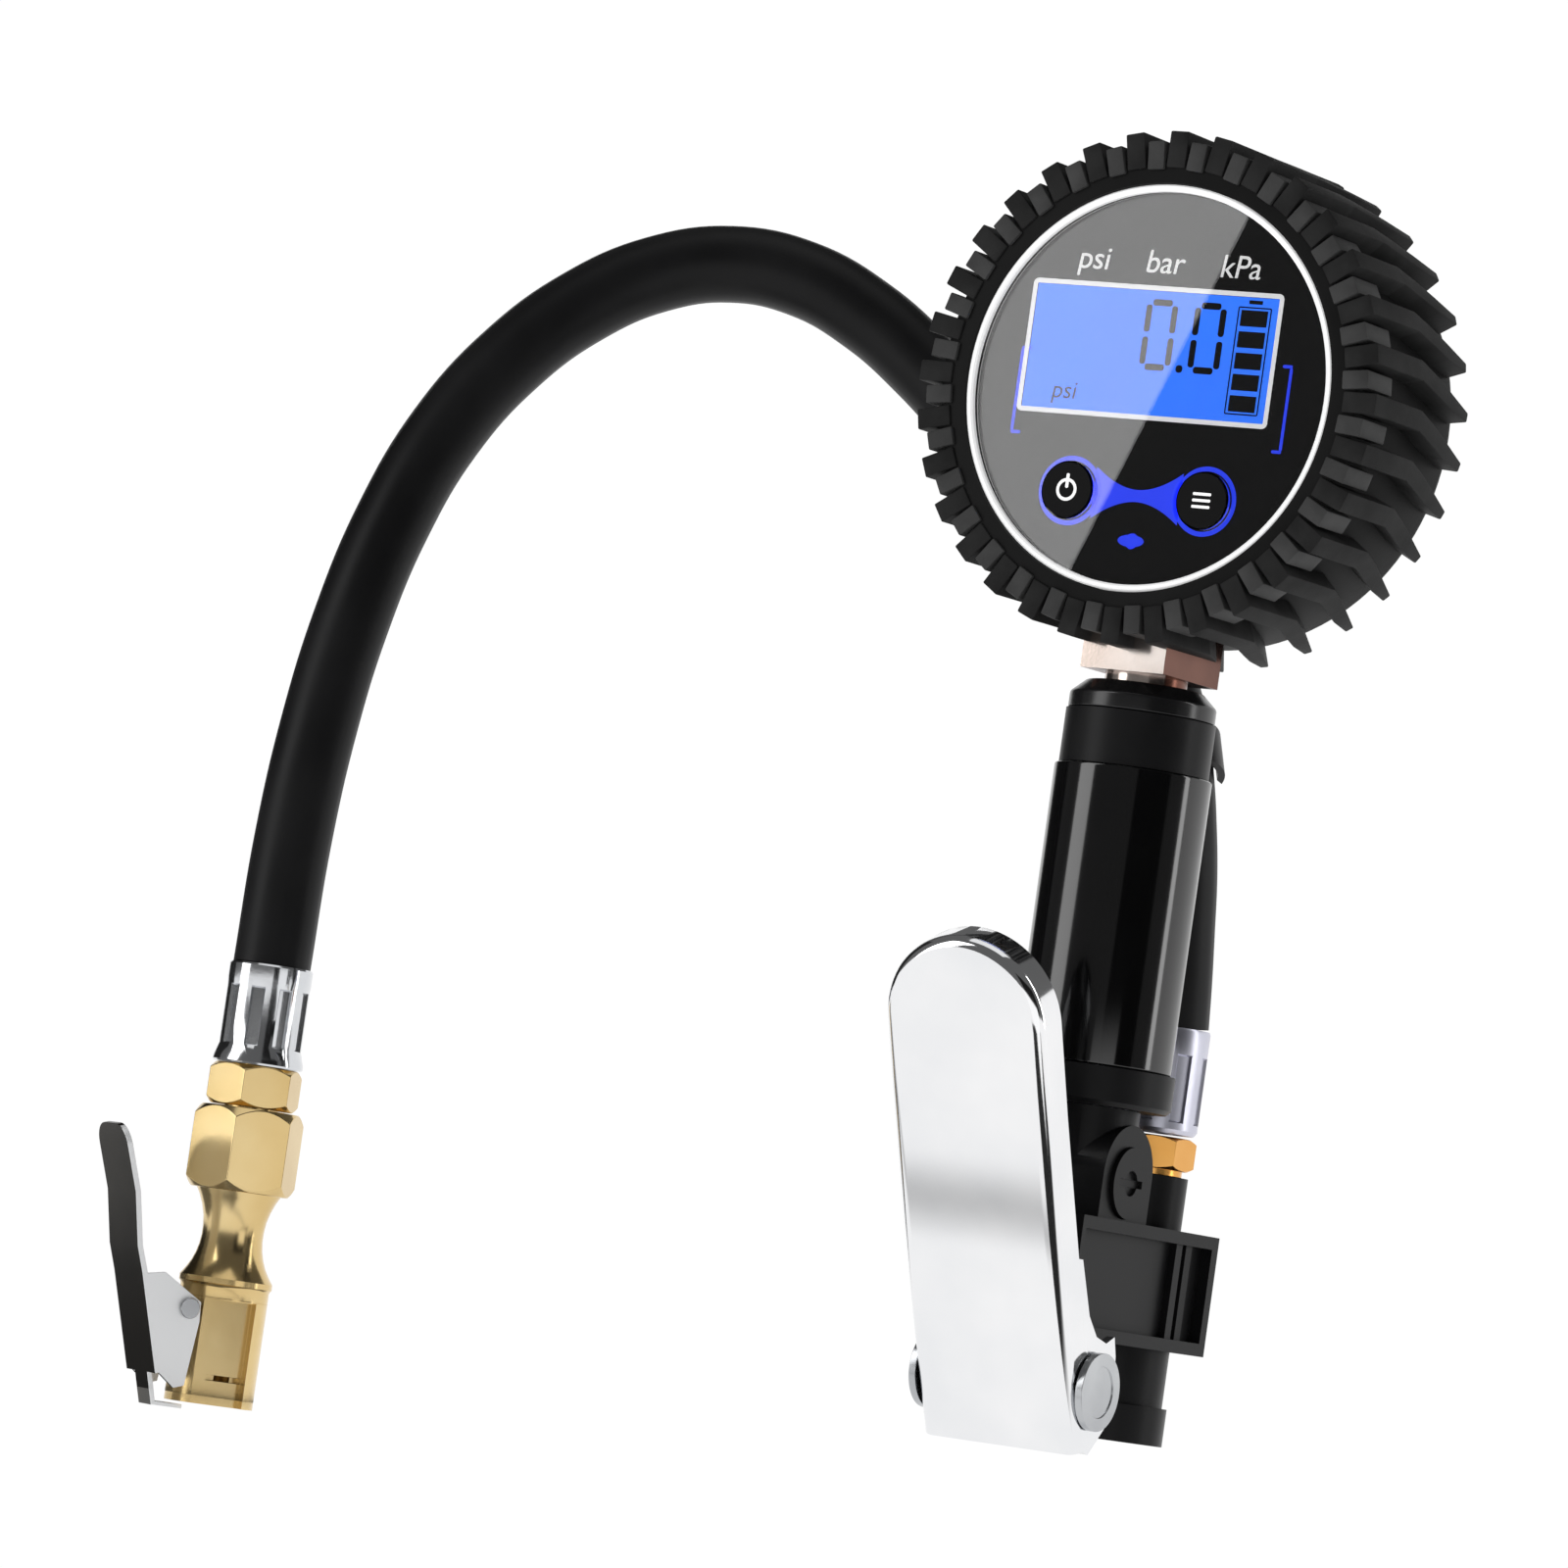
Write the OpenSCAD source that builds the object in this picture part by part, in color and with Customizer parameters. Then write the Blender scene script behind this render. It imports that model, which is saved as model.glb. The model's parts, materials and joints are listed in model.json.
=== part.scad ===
// Tire inflator gun with a digital gauge, a trigger lever, a rubber hose and a lock-on chuck.
// Millimetres. The origin is the middle of the air inlet's mouth, +Z runs up the grip,
// and the dial and the trigger face -Y.

/* [Air inlet and valve body] */
// Radius of the inlet's threaded bore
inlet_bore_r = 5.56; // [5:0.01:5.8]
// Depth of the inlet's threaded bore
inlet_bore_len = 12; // [10:0.5:12.5]
// Outer radius of the inlet neck
inlet_neck_r = 8.8; // [8.4:0.1:9.4]
// Width of the valve body
body_w = 22; // [20:0.5:23]
// Height where the valve body's box starts
box_z0 = 15; // [14:0.5:16]
// Height where the valve body's box ends
box_z1 = 34; // [33.5:0.5:35]
// Height of the valve's centre line
valve_z = 24.5; // [24:0.25:25]

/* [Grip] */
// Distance from the inlet's centre line forward to the grip's centre line
grip_back = 20; // [19:0.5:21]
// Radius of the grip sleeve
grip_r = 12.45; // [11.5:0.05:13]
// Radius of the bottom collar
collar_r = 13.2; // [12.6:0.1:14]
// Radius of the top collar
top_collar_r = 11.85; // [11.2:0.05:12.4]
// Height where the grip sleeve starts
grip_z0 = 57.4; // [57:0.1:59]
// Height where the grip sleeve ends
grip_z1 = 104; // [100:1:106]

/* [Trigger lever] */
// Width of the trigger lever
lever_w = 27.8; // [27.2:0.1:28.4]
// Thickness of the trigger's sheet
lever_t = 1.4; // [1:0.1:1.6]
// Depth of the trigger's side flanges
flange_d = 6.4; // [6:0.2:8]
// Radius of the trigger's pivot pin
pivot_r = 2.5; // [2:0.1:2.8]
// Radius of the pivot pin's round heads
pin_head_r = 6.1; // [5.5:0.1:6.4]

/* [Gauge] */
// Height of the gauge's centre
gauge_z = 163; // [162.5:0.5:164]
// Radius of the gauge case
case_r = 35; // [34.5:0.1:35.2]
// Radius of the boot between its tread ribs
boot_r = 37; // [36.4:0.1:37.5]
// Radius at the tips of the tread ribs
tread_r = 40.5; // [39:0.1:41]
// Number of tread ribs
tread_n = 32; // [24:2:36]
// Radius of the dial lens
lens_r = 31; // [30.4:0.1:31]
// Width of the display window
lcd_w = 43.2; // [41:0.2:44]
// Height of the display window
lcd_h = 19.8; // [18:0.2:20]
// Radius of the two keys
key_r = 4.3; // [3.8:0.1:4.4]

/* [Hose] */
// Outside diameter of the hose
hose_d = 12.7; // [12:0.1:13]
// Inside diameter of the hose
hose_bore = 6.4; // [6:0.1:6.6]

/* [Chuck] */
// Size of the chuck's hexagon across its flats
chuck_af = 16; // [15:0.5:17]
// Radius of the chuck's barrel
barrel_r = 7.2; // [7:0.1:7.5]
// Radius of the socket that a valve stem goes into
socket_r = 4.05; // [4:0.01:4.1]
// Half the distance between the barrel's side flats
flat_d = 4.8; // [4.7:0.05:4.9]
// Radius of the chuck's waist at its narrowest
waist_r = 4.95; // [4.6:0.05:5.2]

/* [Hidden] */
$fn = 64;
e = 0.01;          // overlap that joins or cuts cleanly
fit = 0.05;        // radial clearance of pieces that sit in one another

grip_y = -grip_back;
hose_y = 3.5;              // the hose port's centre line
box_y0 = grip_y - 16;      // front of the valve body
box_y1 = 9.5;              // back of the valve body
half_w = body_w / 2;
ear_hw = 9;                // half width of the ear under the grip
plug_z = 40;
ring_h = 6;                // height of the ring at the inlet's mouth
core_r = 7.9;
clip_r = 8.1;              // outer radius of the hose clip
air_r = 2.5;               // radius of the air way
lug_r = 4.6;               // radius of the lug round the trigger's pin
valve_bore_r = 4.2;        // bore that the valve's seals run in
valve_end_r = 5.25;        // wider ends of that bore, for the gland and the rear plug
spring_seat_y = 4.95;      // the rear plug's face, where the valve's spring stands
side_way_z = 31.4;         // small air way from the valve back to the hose port

pivot_y = grip_y - 11;
pivot_z = 7.2;
lever_foot = [grip_y - 13, -3];
lever_top = [grip_y - 48.3, 72.2];
lever_arc_r = 800;
lever_tilt = 23.5;          // how far the trigger's top end leans from upright
lever_hw = lever_w / 2;
ear_step = 0.1;              // how far the trigger's ears stand in from its sides

front_y = grip_y - 13.5;   // front of the boot
back_y = grip_y + 20.5;    // back of the boot
key_x = 12;
key_z = gauge_z - 16.9;
lcd_x = -1.3;
lcd_z = gauge_z + 5.7;
led_z = gauge_z - 24;
lens_y = grip_y - 12.2;
lens_t = 1.2;
plate_t = 0.8;
plate_y = lens_y + lens_t + 0.1;
board_y = grip_y - 5;
board_t = 1.6;
back_in = grip_y + 16.5;   // inner face of the case's back wall
back_out = grip_y + 19;    // outer face of the case's back wall
cell_r = 5.25;
cell_len = 44.5;
cell_dz = 5.4;
door_hw = 25;
door_hh = 15;
door_screw_dz = 13.4;
case_foot = gauge_z - 35;   // flat at the case's foot, on the adapter
sensor_z = 139;

chuck_x = -138;
chuck_y = -46;
chuck_turn = -122;         // where the chuck's lever points
chuck_z0 = -15;            // mouth of the chuck
hex_turn = 52;             // how far the chuck's hexagons turn from its lever
socket_len = 10;           // depth of the chuck's socket, to its seal
seal_pocket_r = 3.6;
clip_u = 8.3;              // pivot of the chuck's lever, out from the chuck's centre line
clip_z = 0;
cheek_t = 0.8;
cheek_w = flat_d + 0.2;

// The hose's centre line, from the near ferrule's mouth to the far ferrule's.
hose_route = [
    [0, 3.5, 66], [-0.2, 2.9, 73], [-0.6, 2.3, 80.5], [-1.3, 1.6, 90.5], [-2.6, 1.6, 98],
    [-4.4, 2.4, 104.5], [-7, 4, 111], [-10.3, 6.2, 117], [-14.8, 8.3, 123], [-20.5, 10, 129.5],
    [-27.5, 11.2, 136.5], [-36, 11.9, 144], [-45.5, 12, 152.5], [-55.5, 11.4, 161],
    [-65.5, 10, 169.3], [-76, 7.8, 176.5], [-87.5, 4.5, 181.5], [-99, 0.2, 182.5],
    [-109.5, -5.4, 179.2], [-118.5, -12.4, 172], [-126, -20.3, 161.2], [-131.5, -28, 147.5],
    [-134.8, -34.6, 131.5], [-136.6, -39.8, 114], [-137.5, -43.4, 96], [-137.9, -45.4, 77.5],
    [-138, -46, 56.5]
];

function unit(v) = v / norm(v);
function arc_bow(t) = sqrt(pow(lever_arc_r, 2) - pow(t, 2));
// A point on the trigger's outer face, k from 0 at its foot to 1 at its top, set back by inset.
function lever_point(k, inset) =
    let (chord = lever_top - lever_foot, len = norm(chord), along = chord / len,
         out = [-along[1], along[0]], t = (k - 0.5) * len,
         bow = arc_bow(t) - arc_bow(len / 2))
    lever_foot + along * (k * len) + out * (bow - inset);
function lever_line(k0, k1, inset, n) = [for (i = [0:n]) lever_point(k0 + (k1 - k0) * i / n, inset)];
function reversed(v) = [for (i = [len(v) - 1:-1:0]) v[i]];

// A cylinder along X, and one along Y, from one place to another.
module along_x(r, x0, x1) translate([x0, 0, 0]) rotate([0, 90, 0]) cylinder(r = r, h = x1 - x0);
module along_y(r, y0, y1) translate([0, y1, 0]) rotate([90, 0, 0]) cylinder(r = r, h = y1 - y0);
module tube_z(r, bore, z0, z1) translate([0, 0, z0]) difference() {
    cylinder(r = r, h = z1 - z0);
    translate([0, 0, -e]) cylinder(r = bore, h = z1 - z0 + 2 * e);
}
module ring_y(r, bore, y0, y1) difference() {
    along_y(r, y0, y1);
    along_y(bore, y0 - e, y1 + e);
}
module block(x0, x1, y0, y1, z0, z1) translate([x0, y0, z0]) cube([x1 - x0, y1 - y0, z1 - z0]);
module hex_z(af, z0, z1, turn = 30) translate([0, 0, z0]) rotate(turn)
    cylinder(r = af / sqrt(3), h = z1 - z0, $fn = 6);
module at_grip() translate([0, grip_y, 0]) children();
module at_port() translate([0, hose_y, 0]) children();
module at_gauge() translate([0, 0, gauge_z]) children();
module at_valve() translate([0, 0, valve_z]) children();
module at_pivot() translate([0, pivot_y, pivot_z]) children();
module at_clip() translate([-6.1, 3.4, 108.4]) rotate([0, 27.2, 147.1]) children();
module at_chuck() translate([chuck_x, chuck_y, 0]) rotate(chuck_turn) children();
module on_both_sides() for (side = [0, 1]) mirror([side, 0, 0]) children();
// A shape in the Y-Z plane, made into a plate from x0 to x1.
module side_plate(x0, x1) translate([x0, 0, 0]) rotate([90, 0, 90]) linear_extrude(x1 - x0) children();

// A coil spring along Z: wire_r thick wire at radius r.
module coil(r, wire_r, length, turns) {
    sides = 6;
    steps = 12;
    rings = turns * steps;
    points = [for (i = [0:rings], s = [0:sides - 1])
        let (a = i * 360 / steps, b = s * 360 / sides, q = r + wire_r * cos(b))
        [q * cos(a), q * sin(a), wire_r + (length - 2 * wire_r) * i / rings + wire_r * sin(b)]];
    quads = [for (i = [0:rings - 1], s = [0:sides - 1])
        let (n = (s + 1) % sides)
        [i * sides + s, i * sides + n, (i + 1) * sides + n, (i + 1) * sides + s]];
    ends = [[for (s = [sides - 1:-1:0]) s], [for (s = [0:sides - 1]) rings * sides + s]];
    polyhedron(points = points, faces = concat(quads, ends));
}

// ---- valve body and inlet ----

module side_recess() {
    rim = 2;
    depth = 2;
    block(half_w - depth, half_w + e, box_y0 + 1.2, box_y1 - rim, box_z0 + rim, box_z1 - rim);
}
module side_rib() {
    block(half_w - 2 - e, half_w - 0.8, -3, -1, box_z0 + 2 - e, box_z1 - 2 + e);
    block(half_w - 2 - e, half_w - 1.2, 1, 3, box_z0 + 2 - e, box_z1 - 2 + e);
}
module pivot_lug() {
    at_pivot() along_x(lug_r, -12, 12);
    block(-12, 12, pivot_y - lug_r, pivot_y + lug_r, pivot_z, box_z0 + e);
}
module ear() at_grip() {
    block(-ear_hw, ear_hw, -8, 8, box_z1 - e, plug_z + 1);
    translate([0, 0, plug_z + 1]) along_x(8, -ear_hw, ear_hw);
    translate([0, 0, box_z1 - e]) cylinder(r = 8.5, h = 51.2 - box_z1);
}
module valve_body() color("#1b1b1c") difference() {
    union() {
        difference() {
            block(-half_w, half_w, box_y0, box_y1, box_z0, box_z1);
            on_both_sides() side_recess();
        }
        on_both_sides() side_rib();
        cylinder(r = inlet_neck_r, h = box_z0 + e);
        cylinder(r = inlet_neck_r + 0.8, h = ring_h);
        pivot_lug();
        ear();
        at_port() translate([0, 0, box_z1 - e]) cylinder(r = 6.3, h = 8.5);
    }
    translate([0, 0, -e]) cylinder(r = 6.9, h = 14.1);
    cylinder(r = 3.8, h = valve_z);
    at_valve() {
        along_y(valve_end_r, box_y0 - e, grip_y - 10);
        along_y(valve_bore_r, grip_y - 10.1, grip_y + 8);
        along_y(2.6, grip_y, grip_y + 11.1);
        along_y(valve_bore_r, grip_y + 11, spring_seat_y + fit);
        along_y(valve_end_r, 4.9, box_y1 + e);
    }
    at_grip() translate([0, 0, valve_z]) cylinder(r = air_r, h = 30);
    translate([0, 0, side_way_z]) along_y(1.2, grip_y, hose_y);
    at_port() {
        translate([0, 0, side_way_z]) cylinder(r = 1.8, h = 6);
        translate([0, 0, 36]) cylinder(r = 4.6, h = 8);
    }
    at_pivot() along_x(pivot_r + fit, -13, 13);
    at_grip() translate([0, 0, plug_z]) on_both_sides() along_x(5.7, ear_hw - 0.6, ear_hw + 1);
}
module inlet_insert() color("#c9a45a") difference() {
    cylinder(r = 6.85, h = 14);
    translate([0, 0, -e]) cylinder(r = inlet_bore_r, h = inlet_bore_len + e);
    cylinder(r = 4.7, h = inlet_bore_len + 0.7);
    cylinder(r = 3.8, h = 15);
}
module inlet_screen() color("#b9bbbd") difference() {
    translate([0, 0, inlet_bore_len + 0.1]) cylinder(r = 4.6, h = 0.5);
    for (a = [0:60:300]) rotate(a) translate([2.4, 0, inlet_bore_len]) cylinder(r = 0.8, h = 2);
    translate([0, 0, inlet_bore_len]) cylinder(r = 0.8, h = 2);
}
module side_plugs() color("#222223") at_grip() translate([0, 0, plug_z]) on_both_sides() difference() {
    along_x(5.6, ear_hw - 0.55, ear_hw + 0.7);
    along_x(2, ear_hw + 0.1, ear_hw + 1);
    block(ear_hw, ear_hw + 1, -3.6, 3.6, -0.6, 0.6);
}
module rear_plug() color("#c9a45a") at_valve() difference() {
    along_y(valve_end_r - fit, 5.1, box_y1 + 0.6);
    block(-3.5, 3.5, box_y1 - 0.4, box_y1 + 1, -0.6, 0.6);
}
module valve_gland() color("#c9a45a") at_valve() difference() {
    union() {
        along_y(valve_end_r - fit, box_y0 + e, grip_y - 10.15);
        along_y(6.4, box_y0 - 0.7, box_y0 - 0.1);
        along_y(valve_end_r - fit, box_y0 - 0.2, box_y0 + 0.1);
    }
    along_y(1.85, box_y0 - 3, grip_y - 9);
}
module gland_seal() color("#151515") at_valve() ring_y(valve_bore_r - 0.1, 1.85, grip_y - 10.05, grip_y - 8.6);
module valve_spring() color("#c8c9cb") at_valve()
    translate([0, grip_y + 14.1, 0]) rotate([-90, 0, 0]) coil(3, 0.35, spring_seat_y - grip_y - 14.1, 6);
module lever_pin() color("#b7b8ba") at_pivot() {
    along_x(pivot_r, -14.3, 14.3);
    on_both_sides() difference() {
        along_x(pin_head_r, lever_hw + 0.3, lever_hw + 1.5);
        along_x(4, lever_hw + 1.3, lever_hw + 2);
    }
}

// ---- grip ----

module core_tube() color("#a8abb0") at_grip() tube_z(core_r, air_r, 51.3, 109);
module bottom_collar() color("#1a1a1b") at_grip() difference() {
    union() {
        tube_z(collar_r, core_r + fit, 52, grip_z0 - 0.1);
        translate([0, 0, 51.3]) cylinder(r1 = collar_r - 0.7, r2 = collar_r, h = 0.71);
    }
    translate([0, 0, 50]) cylinder(r = core_r + fit, h = 10);
}
module grip_sleeve() color("#0c0c0d") at_grip() tube_z(grip_r, core_r + fit, grip_z0, grip_z1);
module top_collar() color("#1d1d1e") difference() {
    union() {
        at_grip() translate([0, 0, grip_z1 + 0.1]) cylinder(r = top_collar_r, h = 8.6);
        at_clip() translate([0, 0, -3.6]) cylinder(r = clip_r, h = 7.2);
        block(-9, 1, grip_y + 6, 0, grip_z1 + 1.4, grip_z1 + 7);
    }
    at_grip() translate([0, 0, grip_z1]) cylinder(r = core_r + fit, h = 10);
    at_clip() translate([0, 0, -15]) {
        cylinder(r = hose_d / 2 + 0.6, h = 30);
        rotate(-147.1) translate([-5.4, 4, 0]) cube([10.8, 10, 30]);
    }
}
module cap_nut() color("#141415") at_grip() rotate_extrude() polygon([
    [6.55, 112.8], [11.6, 112.8], [11.6, 115.3], [9.2, 117.5], [6.55, 117.5]]);

// ---- gauge ----

module gauge_adapter() color("#a9836a") at_grip() difference() {
    union() {
        translate([0, 0, 109.1]) cylinder(r = 6.5, h = 11.5);
        block(-7.4, 7.4, -8.5, 10, 120.5, case_foot - 0.1);
        translate([0, 0, case_foot - 1]) cylinder(r = 5, h = sensor_z - case_foot + 1);
    }
    translate([0, 0, 108]) cylinder(r = air_r, h = 40);
}
module adapter_seal() color("#151515") at_grip() tube_z(6.4, 5.1, case_foot + 3.15, case_foot + 4.3);
module gauge_case() color("#202124") difference() {
    union() {
        difference() {
            at_gauge() along_y(case_r, grip_y - 12.5, back_out);
            at_gauge() along_y(case_r - 2.4, grip_y - 13, back_in);
        }
        at_gauge() for (s = [-1, 1]) translate([0, 0, s * door_screw_dz])
            along_y(2.2, grip_y + 5, back_in + e);
        at_grip() translate([0, 0, case_foot]) cylinder(r = 7.5, h = 2.9);
    }
    at_gauge() {
        block(-door_hw - 0.1, door_hw + 0.1, back_out - 1.5, back_out + 1,
            -door_hh - 0.1, door_hh + 0.1);
        difference() {
            block(-24, 24, back_in - 1, back_out, -12, 12);
            for (s = [-1, 1]) translate([0, 0, s * door_screw_dz]) along_y(2.2, -30, back_in);
        }
        for (s = [-1, 1]) translate([0, 0, s * door_screw_dz]) along_y(1.15, grip_y + 7, back_out);
    }
    at_grip() translate([0, 0, 120]) cylinder(r = 5 + fit, h = 15);
    block(-7.6, 7.6, grip_y - 8.7, grip_y + 10.2, 120, case_foot);
}
// Tread ribs: the front half and the back half of the boot each have their own set.
module tread(y0, y1, turn) at_gauge() translate([0, y1, 0]) rotate([90, 0, 0]) linear_extrude(y1 - y0)
    difference() {
        circle(r = tread_r, $fn = 128);
        circle(r = boot_r - 0.5, $fn = 128);
        for (i = [0:tread_n - 1]) rotate(turn + i * 360 / tread_n)
            translate([boot_r, -2]) square([8, 4]);
    }
module gauge_boot() color("#1c1c1d") difference() {
    union() {
        at_gauge() rotate([-90, 0, 0]) rotate_extrude() polygon([
            [32.3, front_y], [boot_r, front_y], [boot_r, back_y], [31, back_y],
            [31, back_out + 0.1], [case_r + 0.1, back_out + 0.1],
            [case_r + 0.1, front_y + 0.9], [32.3, front_y + 0.9]]);
        tread(front_y + 0.5, grip_y + 3.5, 0);
        tread(grip_y + 3.5, back_y - 0.5, 180 / tread_n);
    }
    block(-8, 8, grip_y - 9.1, grip_y + 10.6, 120, case_foot + 1.5);
}
module bezel_ring() color("#f2f3f4") at_gauge() ring_y(32.1, lens_r + fit, grip_y - 12.9, grip_y - 10.2);
module key_holes(y0, y1) translate([0, 0, key_z]) for (s = [-1, 1]) translate([s * key_x, 0, 0])
    along_y(key_r + 0.3, y0, y1);
module dial_lens() color("#0a0a0c", 0.5) difference() {
    at_gauge() along_y(lens_r, lens_y, lens_y + lens_t);
    key_holes(lens_y - 1, lens_y + 3);
}
module dial_plate() color("#0b0b0d") difference() {
    at_gauge() along_y(lens_r, plate_y, plate_y + plate_t);
    key_holes(plate_y - 1, plate_y + 3);
    block(lcd_x - lcd_w / 2, lcd_x + lcd_w / 2, plate_y - 1, plate_y + 3,
        lcd_z - lcd_h / 2, lcd_z + lcd_h / 2);
    translate([0, 0, led_z]) along_y(1.3, plate_y - 1, plate_y + 3);
}
module lcd_panel() color("#1e78ff") block(lcd_x - lcd_w / 2 + 0.1, lcd_x + lcd_w / 2 - 0.1,
    plate_y + 0.1, plate_y + 2, lcd_z - lcd_h / 2 + 0.1, lcd_z + lcd_h / 2 - 0.1);
module backlight_panel() color("#eef3ff") block(lcd_x - lcd_w / 2 - 1, lcd_x + lcd_w / 2 + 1,
    plate_y + 2.1, plate_y + 4, lcd_z - lcd_h / 2 - 1, lcd_z + lcd_h / 2 + 1);
module circuit_board() color("#1f6b3a") difference() {
    at_gauge() along_y(30, board_y, board_y + board_t);
    block(-8, 8, board_y - 1, board_y + 3, gauge_z - 32, sensor_z + 6.5);
}
module tact_switches() color("#2a2a2c") translate([0, 0, key_z]) for (s = [-1, 1])
    translate([s * key_x, 0, 0]) {
        block(-3, 3, board_y - 2.6, board_y - 0.02, -3, 3);
        along_y(1.7, board_y - 3.7, board_y - 2.5);
    }
module status_led() color("#2a5cff") translate([0, 0, led_z]) {
    along_y(1.2, plate_y + 0.2, plate_y + plate_t + 0.2);
    along_y(1.9, plate_y + plate_t + 0.03, plate_y + plate_t + 1.5);
}
module pressure_sensor() color("#c4c6c8") at_grip() {
    translate([0, 0, sensor_z + 0.1]) cylinder(r = 4.8, h = 4);
    translate([0, 0, sensor_z + 4]) cylinder(r = 3.4, h = 1.6);
}
module battery_tray() color("#26272a") at_gauge() {
    block(-24.6, 24.6, grip_y + 3.4, grip_y + 4.4, -11.1, 11.1);
    on_both_sides() block(23.3, 24.6, grip_y + 4.39, grip_y + 15.5, -11.1, 11.1);
}
module battery_cells() color("#3c5f8a") at_gauge() for (s = [-1, 1])
    translate([0, grip_y + 10, s * cell_dz]) {
        along_x(cell_r, -cell_len / 2, cell_len / 2 - 0.8);
        translate([-0.1, 0, 0]) along_x(1.9, cell_len / 2 - 1, cell_len / 2);
    }
module battery_contacts() color("#d6d7d8") at_gauge() on_both_sides()
    for (s = [-1, 1]) translate([0, grip_y + 10, s * cell_dz])
        block(22.6, 23.1, -3.5, 3.5, -3.5, 3.5);
module battery_door() color("#232427") at_gauge() difference() {
    block(-door_hw, door_hw, back_out - 1.4, back_out - 0.05, -door_hh, door_hh);
    for (s = [-1, 1]) translate([0, 0, s * door_screw_dz]) {
        along_y(1.15, back_out - 3, back_out + 1);
        along_y(1.45, back_out - 0.7, back_out + 1);
    }
}
module door_screws() color("#8d8f92") at_gauge() for (s = [-1, 1])
    translate([0, 0, s * door_screw_dz]) difference() {
        union() {
            along_y(1.1, grip_y + 8, back_out - 0.6);
            along_y(1.4, back_out - 0.65, back_out);
        }
        block(-0.9, 0.9, back_out - 0.35, back_out + 1, -0.2, 0.2);
        block(-0.2, 0.2, back_out - 0.35, back_out + 1, -0.9, 0.9);
    }

// ---- hose and its fittings ----

module hose_nipple() color("#d9b266") at_port() difference() {
    union() {
        translate([0, 0, 37]) cylinder(r = 4.5, h = 7);
        hex_z(12, 43.5, 48.7);
        translate([0, 0, 48.6]) cylinder(r = 3, h = 16);
    }
    translate([0, 0, 36]) cylinder(r = 2, h = 30);
}
module near_ferrule() color("#c9cad2") at_port() tube_z(6.7, 3.1, 49.2, 66);
// The hose is a tube swept along its route, with a ring of points at each place on it.
hose_sides = 12;
hose_n = len(hose_route);
function hose_ahead(i) = i == 0 ? [0, 0, 1] : i == hose_n - 1 ? [0, 0, -1]
    : unit(hose_route[i + 1] - hose_route[i - 1]);
function hose_side(i) = i == 0 ? [0, 1, 0]
    : let (s = hose_side(i - 1), t = hose_ahead(i)) unit(s - t * (s * t));
function hose_ring(i, r) = let (u = hose_side(i), v = cross(hose_ahead(i), u), step = 360 / hose_sides)
    [for (s = [0:hose_sides - 1]) hose_route[i] + r * (u * cos(s * step) + v * sin(s * step))];
// The faces between two rings of points that start at a and b.
function band(a, b) = [for (s = [0:hose_sides - 1])
    let (t = (s + 1) % hose_sides) each [[a + s, b + t, a + t], [a + s, b + s, b + t]]];
module hose() color("#161617") {
    inner = hose_n * hose_sides;
    last = (hose_n - 1) * hose_sides;
    polyhedron(
        points = [for (r = [hose_d / 2, hose_bore / 2], i = [0:hose_n - 1]) each hose_ring(i, r)],
        faces = [
            for (i = [0:hose_n - 2]) each band(i * hose_sides, (i + 1) * hose_sides),
            for (i = [0:hose_n - 2]) each band(inner + (i + 1) * hose_sides, inner + i * hose_sides),
            each band(inner, 0), each band(last, inner + last)]);
}
module far_ferrule() color("#cfd1d3") at_chuck() {
    tube_z(6.7, 3.1, 41.5, 56.5);
    tube_z(7.4, 3.1, 40.2, 41.6);
}
module far_nipple() color("#d9b266") at_chuck() difference() {
    union() {
        translate([0, 0, 26]) cylinder(r = 4.4, h = 8);
        hex_z(13.5, 33.2, 40.1, hex_turn);
        translate([0, 0, 40]) cylinder(r = 3, h = 15);
    }
    translate([0, 0, 25]) cylinder(r = 2, h = 32);
}

// ---- chuck ----

module chuck_waist() rotate_extrude() difference() {
    square([8.6, 21]);
    translate([waist_r + 8.4, 12.2]) circle(r = 8.4);
    translate([7.0, 2.5]) square([4, 2.6]);
    translate([8.2, -1]) square([4, 6]);
}
module chuck_body() color("#d9b266") at_chuck() difference() {
    union() {
        hex_z(chuck_af, 19.5, 33.1, hex_turn);
        translate([0, 0, 2.2]) chuck_waist();
        translate([0, 0, 2]) cylinder(r = 6.8, h = 2.4);
        difference() {
            translate([0, 0, chuck_z0]) cylinder(r = barrel_r, h = 2.2 - chuck_z0);
            for (s = [-1, 1]) translate([0, s * (flat_d + 5), -7])
                block(-3, 10, -5, 5, chuck_z0 + 6, 10);
        }
        translate([clip_u, 0, clip_z]) rotate([90, 0, 0]) translate([0, 0, -2.2]) cylinder(r = 1.9, h = 4.4);
        block(5, clip_u, -2.2, 2.2, clip_z - 1.9, clip_z + 1.9);
    }
    translate([0, 0, chuck_z0 - e]) cylinder(r = socket_r, h = socket_len + e);
    translate([0, 0, chuck_z0 + socket_len - e]) cylinder(r = seal_pocket_r, h = 2);
    translate([0, 0, -4]) cylinder(r = 2.3, h = 12);
    translate([0, 0, 7]) cylinder(r = 1.6, h = 20);
    translate([0, 0, 25.5]) cylinder(r = 4.45, h = 9);
    translate([clip_u, 3, clip_z]) rotate([90, 0, 0]) cylinder(r = 1.04, h = 6);
    block(-10, -3, -0.5, 0.5, -11.2, -10.4);
}
module chuck_seal() color("#151515") at_chuck() tube_z(seal_pocket_r - fit, 1.6, -4.9, -3.1);
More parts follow.
